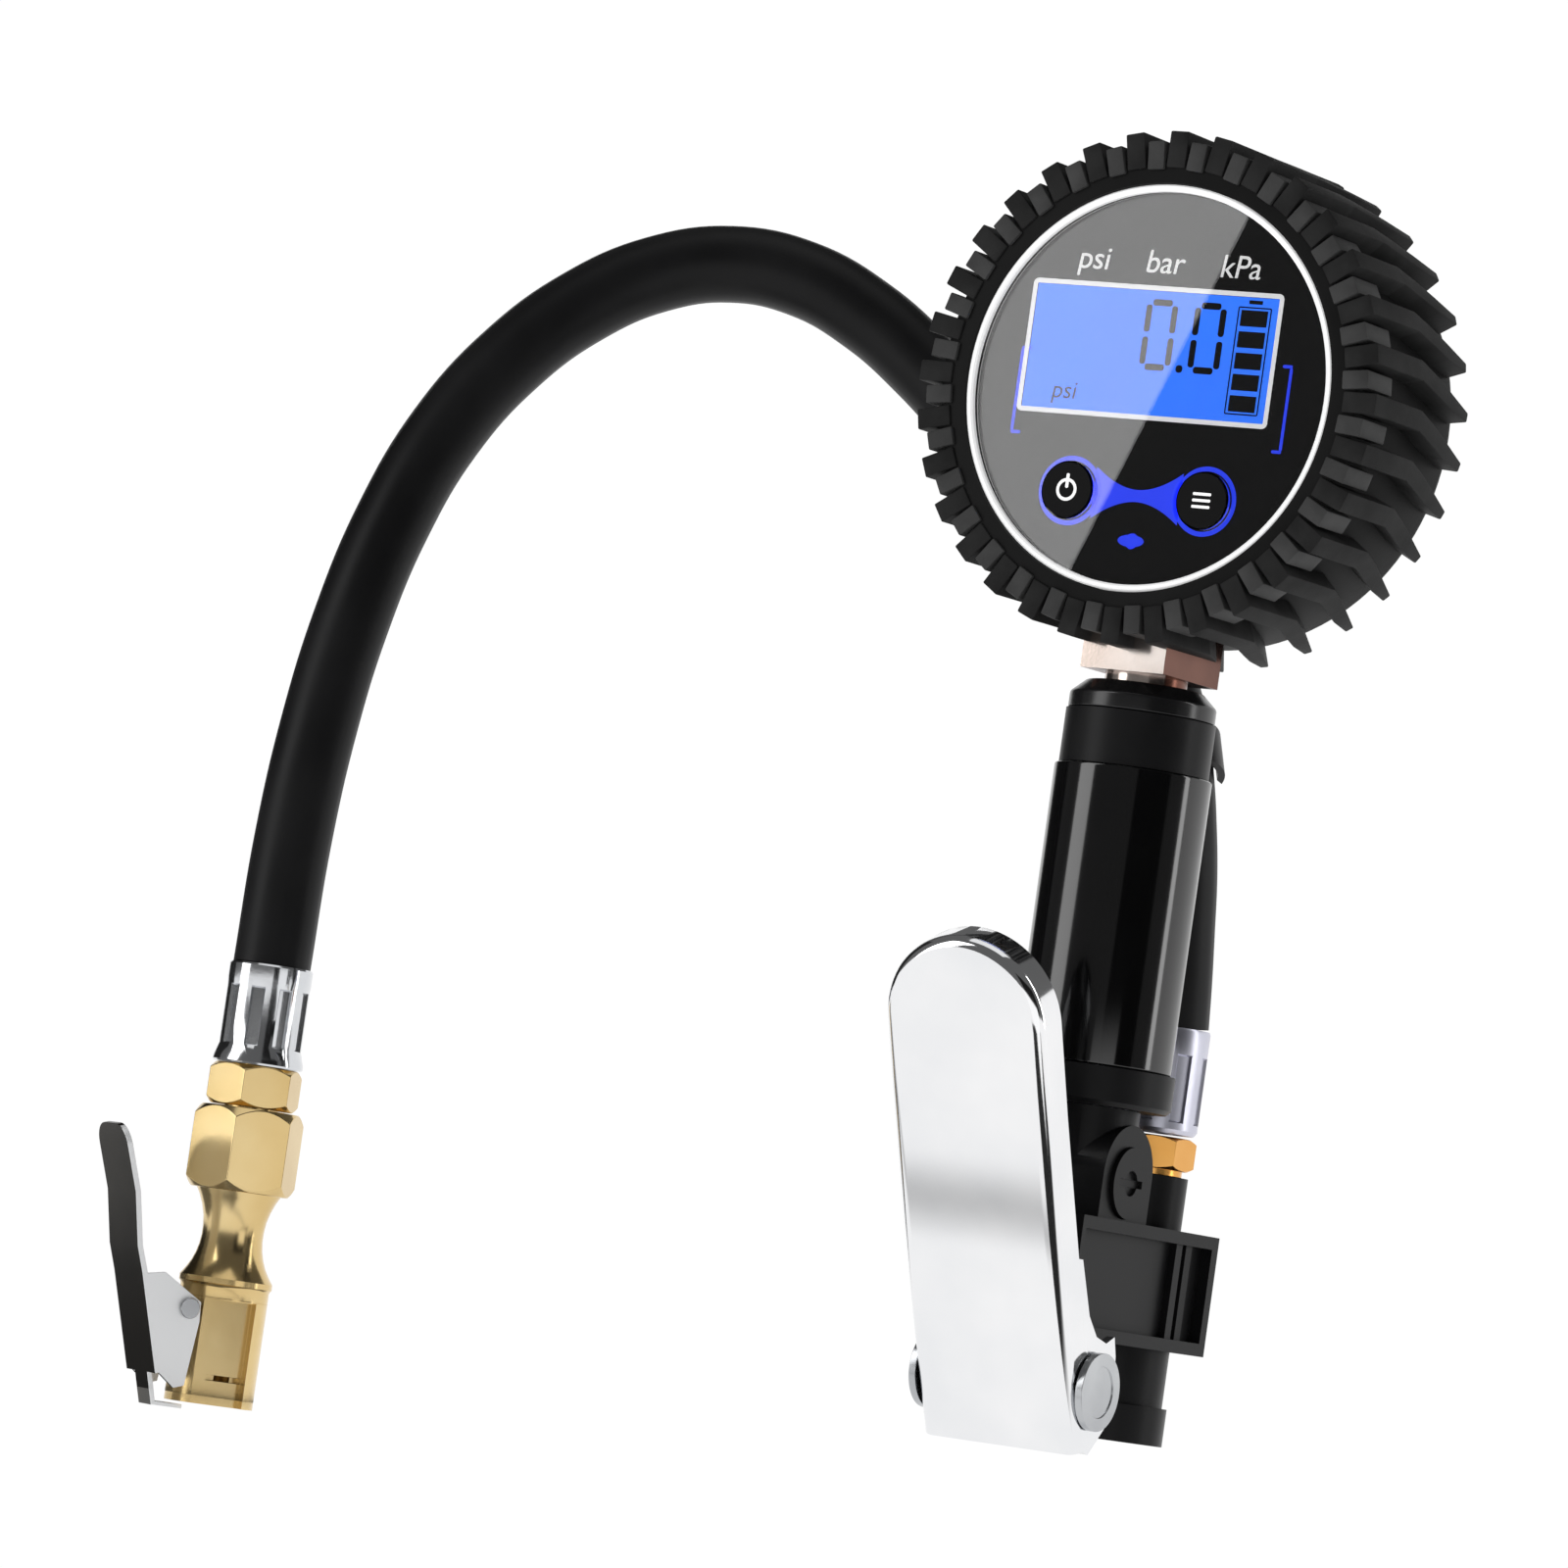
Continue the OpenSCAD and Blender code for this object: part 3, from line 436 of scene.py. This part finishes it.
# %% Brass nuts and stems
def nut(name, flats_mm, low, high, centre, turn, material, slot, chamfer=1.1):
    corner = flats_mm / math.sqrt(3)
    edge = flats_mm / 2 - 0.15
    blank = turned([(1.7, low), (edge, low), (corner + 0.05, low + chamfer), (corner + 0.05, high - chamfer),
                    (edge, high), (1.7, high), (1.7, low)], centre, "Z", 64)
    prism = started(bpy.ops.mesh.primitive_cylinder_add, vertices=6, radius=corner * MM,
                    depth=(high - low + 2) * MM, rotation=(0, 0, math.radians(turn)),
                    location=centre + Vector((0, 0, (low + high) / 2 * MM)))
    cut_by(prism, blank, "INTERSECT")
    rounded(prism, 0.12, 2, angle=20, smooth=25)
    return keep(prism, name, material, "handle", slot)

HEX_TURN = 20                                         # a corner of the hexagons looks to the front
near_nut = nut("near_nut", 12, 43.5, 48.7, PORT, 0, orange_brass, "brass", 0.7)
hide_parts("hose_nipple")
far_nut = nut("far_nut", 13.5, 33.3, 40.1, CHUCK, HEX_TURN, turned_brass, "brass")
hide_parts("far_nipple")
chuck_nut = nut("chuck_nut", 16, 19.6, 33.1, CHUCK, HEX_TURN, turned_brass, "brass", 1.7)
near_stem = turned([(2, 37.5), (4.5, 37.5), (4.5, 42.4), (5.2, 42.6), (5.2, 43.6), (4.5, 44), (2, 44),
                    (2, 37.5)], PORT, "Z", 48)
keep(near_stem, "near_stem", orange_brass, "handle", "brass")
far_stem = turned([(2, 26), (4.4, 26), (4.4, 34), (3, 34), (3, 41), (2, 41), (2, 26)], CHUCK, "Z", 48)
far_stem = keep(far_stem, "far_stem", turned_brass, "handle", "brass")
waist = turned([(1.7, 20.8), (7.3, 20.8), (7.0, 19.9), (6.25, 18.5), (5.6, 16.9), (5.15, 15.2), (4.97, 13.5),
                (4.97, 12.1), (5.15, 10.6), (5.5, 9.2), (6.0, 7.9), (6.6, 6.8), (7.2, 5.9), (7.55, 5.4),
                (7.55, 4.5), (7.3, 4.2), (7.2, 3.9), (7.2, 2.1), (1.7, 2.1), (1.7, 20.8)], CHUCK, "Z", 96)
waist = keep(waist, "chuck_waist", turned_brass, "handle", "brass", "chuck_body")
print("nuts and waist turned")

# %% [markdown]
# ## The chuck's barrel
# The barrel is the lower end of the exact chuck, with its flats and its socket. A short slot is sawn
# across the flat, and the cut at the top is closed by a ring of faces that leaves the bore open.

# %% Barrel
SLOT_Z_MM, BARREL_TOP = -10.6, 0.0021
barrel = copy_of("chuck_body")
side_way = Matrix.Rotation(CHUCK_TURN, 3, "Z") @ Vector((0, 1, 0))
out_way = Matrix.Rotation(CHUCK_TURN, 3, "Z") @ Vector((1, 0, 0))
saw = started(bpy.ops.mesh.primitive_cube_add, size=1, rotation=(0, 0, CHUCK_TURN),
              location=CHUCK + side_way * 5 * MM + Vector((0, 0, SLOT_Z_MM * MM)))
saw.scale = (6.4 * MM, 2.4 * MM, 0.9 * MM)
bpy.ops.object.transform_apply(location=True, rotation=True, scale=True)
cut_by(barrel, saw, "DIFFERENCE")
bpy.ops.object.mode_set(mode="EDIT")
bpy.ops.mesh.select_all(action="SELECT")
bpy.ops.mesh.bisect(plane_co=(0, 0, BARREL_TOP), plane_no=(0, 0, 1), clear_outer=True)
bpy.ops.mesh.select_all(action="DESELECT")
bpy.ops.mesh.select_non_manifold()
bpy.ops.mesh.bridge_edge_loops()
bpy.ops.object.mode_set(mode="OBJECT")
rounded(barrel, 0.08, 2, angle=40)
barrel = keep(barrel, "chuck_barrel", turned_brass, "handle", "brass")
print("barrel", len(barrel.data.polygons), "faces")

# %% [markdown]
# ## The thumb lever's two finishes
# The lever is folded from spring steel, and the corners at its top are rounded off for the thumb. Its
# back is dark from heat treatment. Its cut cheeks and the faces that don't look outwards are bare steel,
# drawn as a near-white, barely metallic plate: a painted reflection that keeps them bright. So one piece
# carries two finishes, chosen by which way each face looks.

# %% Thumb lever
thumb = copy_of("chuck_lever")

def top_corner(edge):
    """The two short edges across the sheet at its top end."""
    ends = [thumb.data.vertices[i].co - CHUCK for i in edge.vertices]
    return (min(p.z for p in ends) > 27 * MM and (ends[0] - ends[1]).length < 1.5 * MM
            and min(abs(p.dot(side_way)) for p in ends) > 5 * MM)

bevelled(thumb, top_corner, 3.4, 7)
rounded(thumb, 0.15)
keep(thumb, "chuck_lever_shape", olive_plate, body_of(nodes["chuck_lever"])[0], "plated_steel",
     "chuck_lever")
# The cheeks and inward faces take the near-white plate: a painted reflection of bright steel.
thumb.data.materials.append(cheek_steel_painted_reflection)
for face in thumb.data.polygons:
    bright = abs(face.normal.dot(side_way)) > 0.5 or face.normal.dot(out_way) < 0.2
    face.material_index = 1 if bright else 0

# %% [markdown]
# ## The hose
# A short rubber hose leaves the body upwards, passes the clip at the collar, arches over and hangs
# down into the chuck. It is 12.7 mm thick and keeps its own stiff curve. A curve object with a round
# bevel is the simplest true hose: its line is the centreline and it stays editable.

# %% Hose
ROUTE_MM = [
    (0, 3.5, 66), (-0.2, 2.9, 73), (-0.6, 2.3, 80.5), (-1.3, 1.6, 90.5), (-2.6, 1.6, 98),
    (-4.4, 2.4, 104.5), (-7, 4, 111), (-10.3, 6.2, 117), (-14.8, 8.3, 123), (-20.5, 10, 129.5),
    (-27.5, 11.2, 136.5), (-36, 11.9, 144), (-45.5, 12, 152.5), (-55.5, 11.4, 161),
    (-65.5, 10, 169.3), (-76, 7.8, 176.5), (-87.5, 4.5, 181.5), (-99, 0.2, 182.5),
    (-109.5, -5.4, 179.2), (-118.5, -12.4, 172), (-126, -20.3, 161.2), (-131.5, -28, 147.5),
    (-134.8, -34.6, 131.5), (-136.6, -39.8, 114), (-137.5, -43.4, 96), (-137.9, -45.4, 77.5),
    (-138, -46, 56.5)]
route = [Vector(p) * MM for p in ROUTE_MM]
hose_line = bpy.data.curves.new("hose_line", "CURVE")
hose_line.dimensions = "3D"
hose_line.bevel_depth, hose_line.bevel_resolution = 0.00635, 8
hose_line.use_fill_caps = True
hose_line.resolution_u = hose_line.render_resolution_u = 8
spline = hose_line.splines.new("BEZIER")
spline.bezier_points.add(len(route) - 1)
for bend, spot in zip(spline.bezier_points, route):
    bend.co = spot
    bend.handle_left_type = bend.handle_right_type = "AUTO"
hose_piece = bpy.data.objects.new("rubber_hose", hose_line)
bpy.context.scene.collection.objects.link(hose_piece)
hose_line.materials.append(hose_rubber)
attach(hose_piece, "handle")
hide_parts("hose")

# %% [markdown]
# ## Crimped ferrules
# A ferrule is a drawn tube squeezed onto the hose. The near one has a plain band at its mouth and
# pressed U-shaped flutes below. The far one has flutes all round and a flared foot. Both start as a
# turned outline; every second column of faces is then pressed inwards, as the crimping jaws do.

# %% Ferrules
def crimped(points, centre, low_mm, high_mm, flutes, depth_mm):
    obj = turned(points, centre, "Z", steps=flutes * 6)
    bpy.ops.object.mode_set(mode="EDIT")
    bpy.ops.mesh.select_all(action="DESELECT")
    bpy.ops.object.mode_set(mode="OBJECT")
    step = 2 * math.pi / flutes
    for face in obj.data.polygons:
        at = face.center - centre
        column = (math.atan2(at.y, at.x) % step) / step
        outside = math.hypot(at.x, at.y) > 0.0055 and abs(face.normal.z) < 0.5
        face.select = outside and low_mm * MM < at.z < high_mm * MM and column < 0.5
    bpy.ops.object.mode_set(mode="EDIT")
    bpy.ops.mesh.inset(thickness=0.00025, depth=-depth_mm * MM)
    bpy.ops.object.mode_set(mode="OBJECT")
    bpy.ops.object.shade_smooth_by_angle(angle=math.radians(50))
    return obj

near = crimped([(4.6, 49.2), (6.2, 49.2), (6.7, 49.9), (6.7, 51.0), (6.7, 56.2), (6.7, 61.8), (6.7, 65.6),
                (6.5, 66), (6.36, 66), (6.36, 64), (4.6, 49.9), (4.6, 49.2)], PORT, 51, 61.8, 8, 0.45)
near = keep(near, "near_crimp", soft_aluminium, "handle", "aluminium", "near_ferrule")
far = crimped([(4.6, 40.2), (7.2, 40.2), (7.4, 40.5), (7.3, 41.2), (6.7, 43.2), (6.7, 48.0), (6.7, 52.8),
               (6.8, 54), (6.8, 56.2), (6.6, 56.5), (6.36, 56.5), (6.36, 54), (4.6, 41), (4.6, 40.2)],
              CHUCK, 43.2, 52.8, 9, 0.5)
far = keep(far, "far_crimp", bright_crimp, "handle", "bright_ferrule", "far_ferrule")
print("ferrules crimped")

# %% [markdown]
# ## The tread boot
# The boot copies an off-road tire: long ribs from the front rim to the back, with a short lug between
# each pair. One rib is extruded backwards in steps and turned a little at each step, so that it bends,
# and the spin tool then repeats it round the axis.

# %% Boot shell
shell = turned([(32.3, -13.5), (35.4, -13.5), (36.6, -13.1), (37, -12.3), (37, 18.6), (36.5, 20.1),
                (35.2, 20.5), (31, 20.5), (31, 19.1), (35.1, 19.1), (35.1, -12.6), (32.3, -12.6),
                (32.3, -13.5)], AXIS, "Y", 128)
keep(shell, "boot_shell", boot_rubber, "handle", "boot_rubber", "gauge_boot")

# %% Boot ribs and lugs
UPRIGHT = (math.radians(90), 0, 0)                    # turns a flat shape to face the front
def rib(name, width_mm, base_mm, height_mm, front_mm, steps, material, turn, count=32):
    """steps are (length, turn in degrees, width kept) for each stretch of the rib towards the back."""
    started(bpy.ops.mesh.primitive_plane_add, size=0.001, rotation=UPRIGHT,
            location=AXIS + Vector((0, front_mm * MM, (base_mm + height_mm / 2) * MM)))
    bpy.ops.object.mode_set(mode="EDIT")
    bpy.ops.transform.resize(value=(width_mm, 1, height_mm))
    for length, bend, kept in steps:
        bpy.ops.mesh.extrude_region_move(TRANSFORM_OT_translate={"value": (0, length * MM, 0)})
        bpy.ops.transform.rotate(value=math.radians(bend), orient_axis="Y", center_override=AXIS)
        bpy.ops.transform.resize(value=(kept, 1, 1))
    bpy.ops.mesh.select_all(action="SELECT")
    bpy.ops.mesh.normals_make_consistent(inside=False)
    bpy.ops.mesh.bevel(offset=0.00025, segments=2, affect="EDGES")
    bpy.ops.transform.rotate(value=math.radians(turn), orient_axis="Y", center_override=AXIS)
    bpy.ops.mesh.spin(steps=count, angle=2 * math.pi, center=AXIS, axis=(0, 1, 0), dupli=True)
    bpy.ops.mesh.select_all(action="SELECT")
    bpy.ops.mesh.remove_doubles(threshold=1e-6)
    bpy.ops.mesh.normals_make_consistent(inside=False)
    bpy.ops.object.mode_set(mode="OBJECT")
    bpy.ops.object.shade_smooth_by_angle(angle=math.radians(40))
    return keep(bpy.context.object, name, material, "handle", "boot_rubber")

rib("tread_ribs", 3.3, 34.7, 5.8, -13.9, [(16, 0, 1), (5, -2.2, 0.95), (5, -2.4, 0.85), (6, -2.6, 0.55)],
    tread_rubber, 0)
rib("tread_lugs", 2.9, 34.4, 4.5, -14.1, [(8.5, 0, 1)], lug_scuff_and_painted_light, 5.6)
print("boot done")

# %% [markdown]
# ## The bezel and the dial
# The bezel is a white ring with a rounded lip. The dial's print is ink, so every mark is a thin flat
# shape lying on the black plate, under the clear lens. Rounded corners come from bevelling the corner
# points of a plane before it gets its thickness.

# %% Bezel
bezel = turned([(31.05, -12.9), (31.35, -13.15), (31.9, -13.15), (32.15, -12.9), (32.15, -10.2),
                (31.05, -10.2), (31.05, -12.9)], AXIS, "Y", 128)
keep(bezel, "bezel_lip", white_abs_painted_glow, "handle", "white_ring", "bezel_ring")

# %% Dial prints
plate_lo, plate_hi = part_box("dial_plate")
panel_lo, panel_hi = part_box("lcd_panel")
INK = 0.03 * MM

def on_dial(name, material, slot, front, body="handle"):
    """Gives the flat shape being edited its ink thickness and keeps it."""
    obj = bpy.context.object
    bpy.ops.object.mode_set(mode="OBJECT")
    only(obj)
    ink = obj.modifiers.new("ink", "SOLIDIFY")
    ink.thickness, ink.offset = INK, 0
    bpy.ops.object.modifier_apply(modifier=ink.name)
    bpy.ops.object.transform_apply(location=True, rotation=True, scale=True)
    bpy.ops.object.mode_set(mode="EDIT")
    bpy.ops.mesh.select_all(action="SELECT")
    bpy.ops.mesh.normals_make_consistent(inside=False)
    bpy.ops.transform.translate(value=(0, front, 0))
    bpy.ops.object.mode_set(mode="OBJECT")
    return keep(obj, name, material, body, slot)

def patch(x, z, width, height, round_mm=0.2):
    """A flat patch with rounded corners, centred at x and z millimetres from the gauge's centre."""
    started(bpy.ops.mesh.primitive_plane_add, size=1, location=(x * MM, 0, AXIS.z + z * MM),
            rotation=UPRIGHT)
    bpy.ops.object.mode_set(mode="EDIT")
    bpy.ops.transform.resize(value=(width * MM, 1, height * MM))
    bpy.ops.mesh.bevel(offset=round_mm * MM, segments=5, affect="VERTICES")

def hollow(edge_mm):
    bpy.ops.mesh.select_all(action="SELECT")
    bpy.ops.mesh.inset(thickness=edge_mm * MM)
    bpy.ops.mesh.delete(type="FACE")

def joined(objs, name):
    bpy.ops.object.select_all(action="DESELECT")
    for obj in objs:
        obj.select_set(True)
    bpy.context.view_layer.objects.active = objs[0]
    bpy.ops.object.join()
    objs[0].name = name
    return objs[0]

plate_front = plate_lo.y - INK
panel_front = panel_lo.y - INK
patch(-1.3, 5.7, 44.6, 21.2, 0.9)
hollow(0.75)
on_dial("display_frame", white_ink_painted_glow, "white_ring", plate_front - INK)

# %% Display segments
def digit(x, z, height):
    """A zero in seven-segment style: six bars with rounded ends, the middle one unlit."""
    wide, thick, half = height * 0.34, height * 0.105, height / 2
    bars = [(x, z + half, wide, thick), (x, z - half, wide, thick)]
    bars += [(x + s * (wide / 2 + thick * 0.5), z + t * half / 2, thick, half - thick * 0.7)
             for s in (-1, 1) for t in (-1, 1)]
    made = []
    for bx, bz, w, h in bars:
        patch(bx, bz, w, h, thick * 0.42)
        made.append(on_dial("segment", segment_ink, "dial_black", panel_front))
    return made

bars = digit(-0.2, 8.6, 10.2) + digit(8.4, 8.6, 10.2)
patch(4.2, 3.5, 1.2, 1.2, 0.5)
bars.append(on_dial("point", segment_ink, "dial_black", panel_front))
for level in range(5):
    patch(16.1, 12.2 - level * 3.36, 4.7, 2.55, 0.1)
    bars.append(on_dial("battery_bar", segment_ink, "dial_black", panel_front))
patch(16.1, 14.75, 2.4, 0.6, 0.1)
bars.append(on_dial("battery_tip", segment_ink, "dial_black", panel_front))
patch(16.1, 5.5, 5.9, 17.0, 0.3)
hollow(0.22)
bars.append(on_dial("battery_rim", segment_ink, "dial_black", panel_front))
joined(bars, "display_segments")

# %% [markdown]
# ## Lettering
# The heading is replaced by the three units that such a gauge shows. Text is made a mesh first, and
# then set on the dial.

# %% Unit words
def word(text, x, z, height_mm, material, slot, front, name, body="handle"):
    letters = started(bpy.ops.object.text_add, location=(x * MM, front, AXIS.z + z * MM),
                      rotation=UPRIGHT)
    letters.data.body = text
    letters.data.size = height_mm * 1.4 * MM
    letters.data.align_x, letters.data.align_y = "CENTER", "CENTER"
    letters.data.extrude, letters.data.space_word = INK / 2, 2.2
    letters.data.shear = 0.12
    bpy.ops.object.convert(target="MESH")
    return keep(bpy.context.object, name, material, body, slot)

word("psi  bar  kPa", 0, 19.9, 3.7, white_ink_painted_glow, "white_ring", plate_front, "unit_words")
word("psi", -15.6, -1.2, 2.9, segment_ink, "dial_black", panel_front, "display_unit")

# %% [markdown]
# ## Keys, dog-bone and light
# A blue shape like a dog-bone joins the two keys. It starts as a thin bar cut across in columns; each
# column is then stretched to the height that the curve has there, and the two rings close it.

# %% Key surround
KEY_X, KEY_Z = 12.0, -16.9
def ring(x, z, outer, inner):
    started(bpy.ops.mesh.primitive_circle_add, vertices=64, radius=outer * MM, fill_type="NOTHING",
            location=(x * MM, 0, AXIS.z + z * MM), rotation=UPRIGHT)
    bpy.ops.object.mode_set(mode="EDIT")
    bpy.ops.mesh.extrude_edges_move()
    bpy.ops.transform.resize(value=(inner / outer, 1, inner / outer))

marks = []
for side in (-1, 1):
    ring(side * KEY_X, KEY_Z, 5.5, 4.75)
    marks.append(on_dial("key_ring", blue_print_painted_glow_and_led_light, "dial_black", plate_front))
bone = started(bpy.ops.mesh.primitive_grid_add, x_subdivisions=24, y_subdivisions=1, size=1,
               location=(0, 0, AXIS.z + KEY_Z * MM), rotation=UPRIGHT)
bone.scale = (15.4 * MM, 1.9 * MM, 1)
bpy.ops.object.transform_apply(location=False, rotation=False, scale=True)
for point in bone.data.vertices:                      # wider towards both keys
    share = abs(point.co.x) / (7.7 * MM)
    point.co.y *= 1 + 3.3 * share ** 1.9
bpy.ops.object.mode_set(mode="EDIT")
marks.append(on_dial("key_bone", blue_print_painted_glow_and_led_light, "dial_black", plate_front))
window_at = (0, 0, AXIS.z - 24 * MM)
started(bpy.ops.mesh.primitive_circle_add, vertices=48, radius=2.3 * MM, fill_type="NGON",
        location=window_at, rotation=UPRIGHT)
bpy.ops.object.mode_set(mode="EDIT")
bpy.ops.transform.resize(value=(1, 1, 0.42), center_override=window_at)
bpy.ops.mesh.select_all(action="SELECT")
marks.append(on_dial("status_window", blue_print_painted_glow_and_led_light, "dial_black", plate_front))
for side in (-1, 1):
    for x, z, w, h in ((23.9, -1.6, 0.5, 13.0), (23.2, 5.1, 1.7, 0.5), (23.2, -8.3, 1.7, 0.5)):
        patch(side * x, z, w, h, 0.24)
        marks.append(on_dial("side_bracket", blue_print_painted_glow_and_led_light, "dial_black", plate_front))
joined(marks, "blue_prints")

# %% Key icons
key_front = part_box("power_key")[0].y - INK
ring(-KEY_X, KEY_Z, 1.8, 1.3)
power = [on_dial("icon", white_ink_painted_glow, "white_ring", key_front, "power_button")]
patch(-KEY_X, KEY_Z + 1.4, 0.55, 2.3, 0.2)
power.append(on_dial("icon_bar", white_ink_painted_glow, "white_ring", key_front - INK, "power_button"))
joined(power, "power_icon")
unit = []
for z in (1.0, 0.0, -1.0):
    patch(KEY_X, KEY_Z + z, 3.2, 0.45, 0.15)
    unit.append(on_dial("icon_line", white_ink_painted_glow, "white_ring", key_front, "unit_button"))
joined(unit, "unit_icon")
print("dial printed")

# %% [markdown]
# ## The trigger
# The trigger is one pressed sheet. Its bend from the face to the sides has a radius of about 2 mm,
# which gives the dark and bright lines along its edge, so those edges are rounded much more than the
# cut edges at its rim.

# %% Trigger
FACE_OUT = Vector((0, -0.905, -0.425)).normalized()
FOOT_Z = -0.0025                                      # the foot's own edge, below this, stays sharp
trigger = copy_of("lever")
sides_of = {}
for face in trigger.data.polygons:
    for key in face.edge_keys:
        sides_of.setdefault(key, []).append(face.normal.copy())

def front_bend(edge):
    """Edges between the outer face and the sides."""
    fronts = sorted(normal.dot(FACE_OUT) for normal in sides_of.get(edge.key, []))
    height = sum(trigger.data.vertices[i].co.z for i in edge.vertices) / 2
    return len(fronts) == 2 and fronts[1] > 0.9 and fronts[0] < 0.5 and height > FOOT_Z

bevelled(trigger, front_bend, 2.1, 6)
rounded(trigger, 0.2, 2, angle=50, smooth=40)
keep(trigger, "trigger_shape", chrome, "trigger", slot_of["lever"], "lever")
print("trigger", len(trigger.data.polygons), "faces")

# %% [markdown]
# ## Floor and light
# The studio is white all round. One large soft light at the front left also shows as a grey patch in
# the lens, a strip at the right back draws the bright lines on the grip, and one light hangs above.

# %% Studio backdrop
floor_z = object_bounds()[0].z - 0.0005
backdrop = started(bpy.ops.mesh.primitive_grid_add, x_subdivisions=2, y_subdivisions=60, size=8,
                   location=(0, 0, floor_z))
backdrop.name = "studio_backdrop"
bpy.ops.object.transform_apply(location=True, rotation=True, scale=True)
BEND_START, BEND = 1.5, 1.2                  # where the floor curves up, and its radius, in metres
for point in backdrop.data.vertices:
    past = point.co.y - BEND_START
    if past > 0:
        turn = min(past / BEND, math.pi / 2)
        rise = max(0, past - BEND * math.pi / 2)
        point.co.y = BEND_START + BEND * math.sin(turn)
        point.co.z = floor_z + BEND * (1 - math.cos(turn)) + rise
bpy.ops.object.shade_smooth()
paper = bpy.data.materials.new("pale backdrop paper")
paper.use_nodes = True
paper_shader = paper.node_tree.nodes["Principled BSDF"]
for socket, value in {"Base Color": srgb("#303030"), "Roughness": 0.9, "Specular IOR Level": 0.0,
                      "Emission Color": srgb("#FFFFFF"), "Emission Strength": 1.0}.items():
    paper_shader.inputs[socket].default_value = value
backdrop.data.materials.append(paper)

# %% Lights
def soft_light(name, place, aim, width, height, radiance):
    lamp = bpy.data.objects.new(name, bpy.data.lights.new(name, "AREA"))
    bpy.context.scene.collection.objects.link(lamp)
    lamp.data.shape, lamp.data.size, lamp.data.size_y = "RECTANGLE", width, height
    lamp.data.energy = radiance * math.pi * width * height
    lamp.location = place
    look_at(lamp, aim)
    return lamp

key = soft_light("key_softbox", (-1.058, -1.2, 0.478), (-1.058, 0, 0.478), 0.9, 1.6, 2.8)
# Turned in its own plane, so that its edge crosses the lens at a slant.
key.rotation_quaternion = Matrix(((0.9296, 0.3686, 0), (0, 0, -1), (-0.3686, 0.9296, 0))).to_quaternion()
soft_light("right_strip", (1.1, 0.5, 0.5), (0, 0, 0.1), 0.2, 1.4, 4.0)
soft_light("top_softbox", (0, -0.2, 1.5), (0, 0, 0.1), 1.0, 1.0, 0.8)

# %% [markdown]
# ## Cards that only reflections see
# Chrome has no look of its own: it shows the room. Two dark flags stand at the sides. Cards on the floor
# draw the grey band across the trigger's face and the dark lines along its bends, and a bright card
# lights up one side of the brass.

# %% Reflection cards
def card(name, place, turn, width, height, shade, soft):
    """A card whose edges fade over the share soft of its height. Only reflections see it."""
    made = started(bpy.ops.mesh.primitive_plane_add, size=1, location=place, rotation=turn)
    made.name = name
    made.scale = (width, height, 1)
    mat = bpy.data.materials.new(name)
    mat.use_nodes = True
    across = add(mat, "ShaderNodeSeparateXYZ",
                 {0: add(mat, "ShaderNodeTexCoord").outputs["Object"]}).outputs["Y"]
    middle = add(mat, "ShaderNodeMath", {0: across}, operation="ABSOLUTE").outputs[0]
    fade = add(mat, "ShaderNodeMapRange", {"Value": middle, 1: 0.5, 2: 0.5 - soft, 3: 0.0, 4: 1.0},
               interpolation_type="SMOOTHSTEP").outputs[0]
    dark = add(mat, "ShaderNodeEmission", {"Color": (shade, shade, shade, 1)}).outputs[0]
    blend = add(mat, "ShaderNodeMixShader",
                {0: fade, 1: add(mat, "ShaderNodeBsdfTransparent").outputs[0], 2: dark}).outputs[0]
    mat.node_tree.links.new(blend, mat.node_tree.nodes["Material Output"].inputs["Surface"])
    made.data.materials.append(mat)
    made.visible_camera = made.visible_diffuse = made.visible_shadow = made.visible_transmission = False

card("right_flag", (0.75, -0.45, 0.2), (math.radians(90), 0, math.radians(60)), 0.8, 0.7, 0.01, 0.05)
card("left_flag", (-0.75, 0.1, 0.25), (math.radians(90), 0, math.radians(-80)), 0.5, 0.7, 0.02, 0.05)
card("band_card", (-0.03, -0.094, floor_z + 0.001), (0, 0, 0), 0.2, 0.024, 0.58, 0.5)
card("bend_card", (0.10, -0.11, floor_z + 0.002), (0, 0, 0), 0.14, 0.14, 0.02, 0.15)
card("brass_card", (0.09, -0.135, 0.012), (math.radians(90), 0, math.radians(69)), 0.1, 0.12, 1.1, 0.1)
card("left_edge_card", (-0.22, -0.05, floor_z + 0.003), (0, 0, 0), 0.2, 0.1, 0.15, 0.2)

# %% World
world = bpy.data.worlds.new("grey studio")
bpy.context.scene.world = world
world.use_nodes = True
world.node_tree.nodes["Background"].inputs["Color"].default_value = srgb("#FFFFFF")
ray = add(world, "ShaderNodeLightPath").outputs["Is Camera Ray"]
# The wall behind the floor looks white, but only lights the object with a dim glow.
glow = add(world, "ShaderNodeMapRange", {"Value": ray, 3: 0.12, 4: 1.0}).outputs[0]
world.node_tree.links.new(glow, world.node_tree.nodes["Background"].inputs["Strength"])
bpy.context.scene.view_settings.view_transform = "Standard"
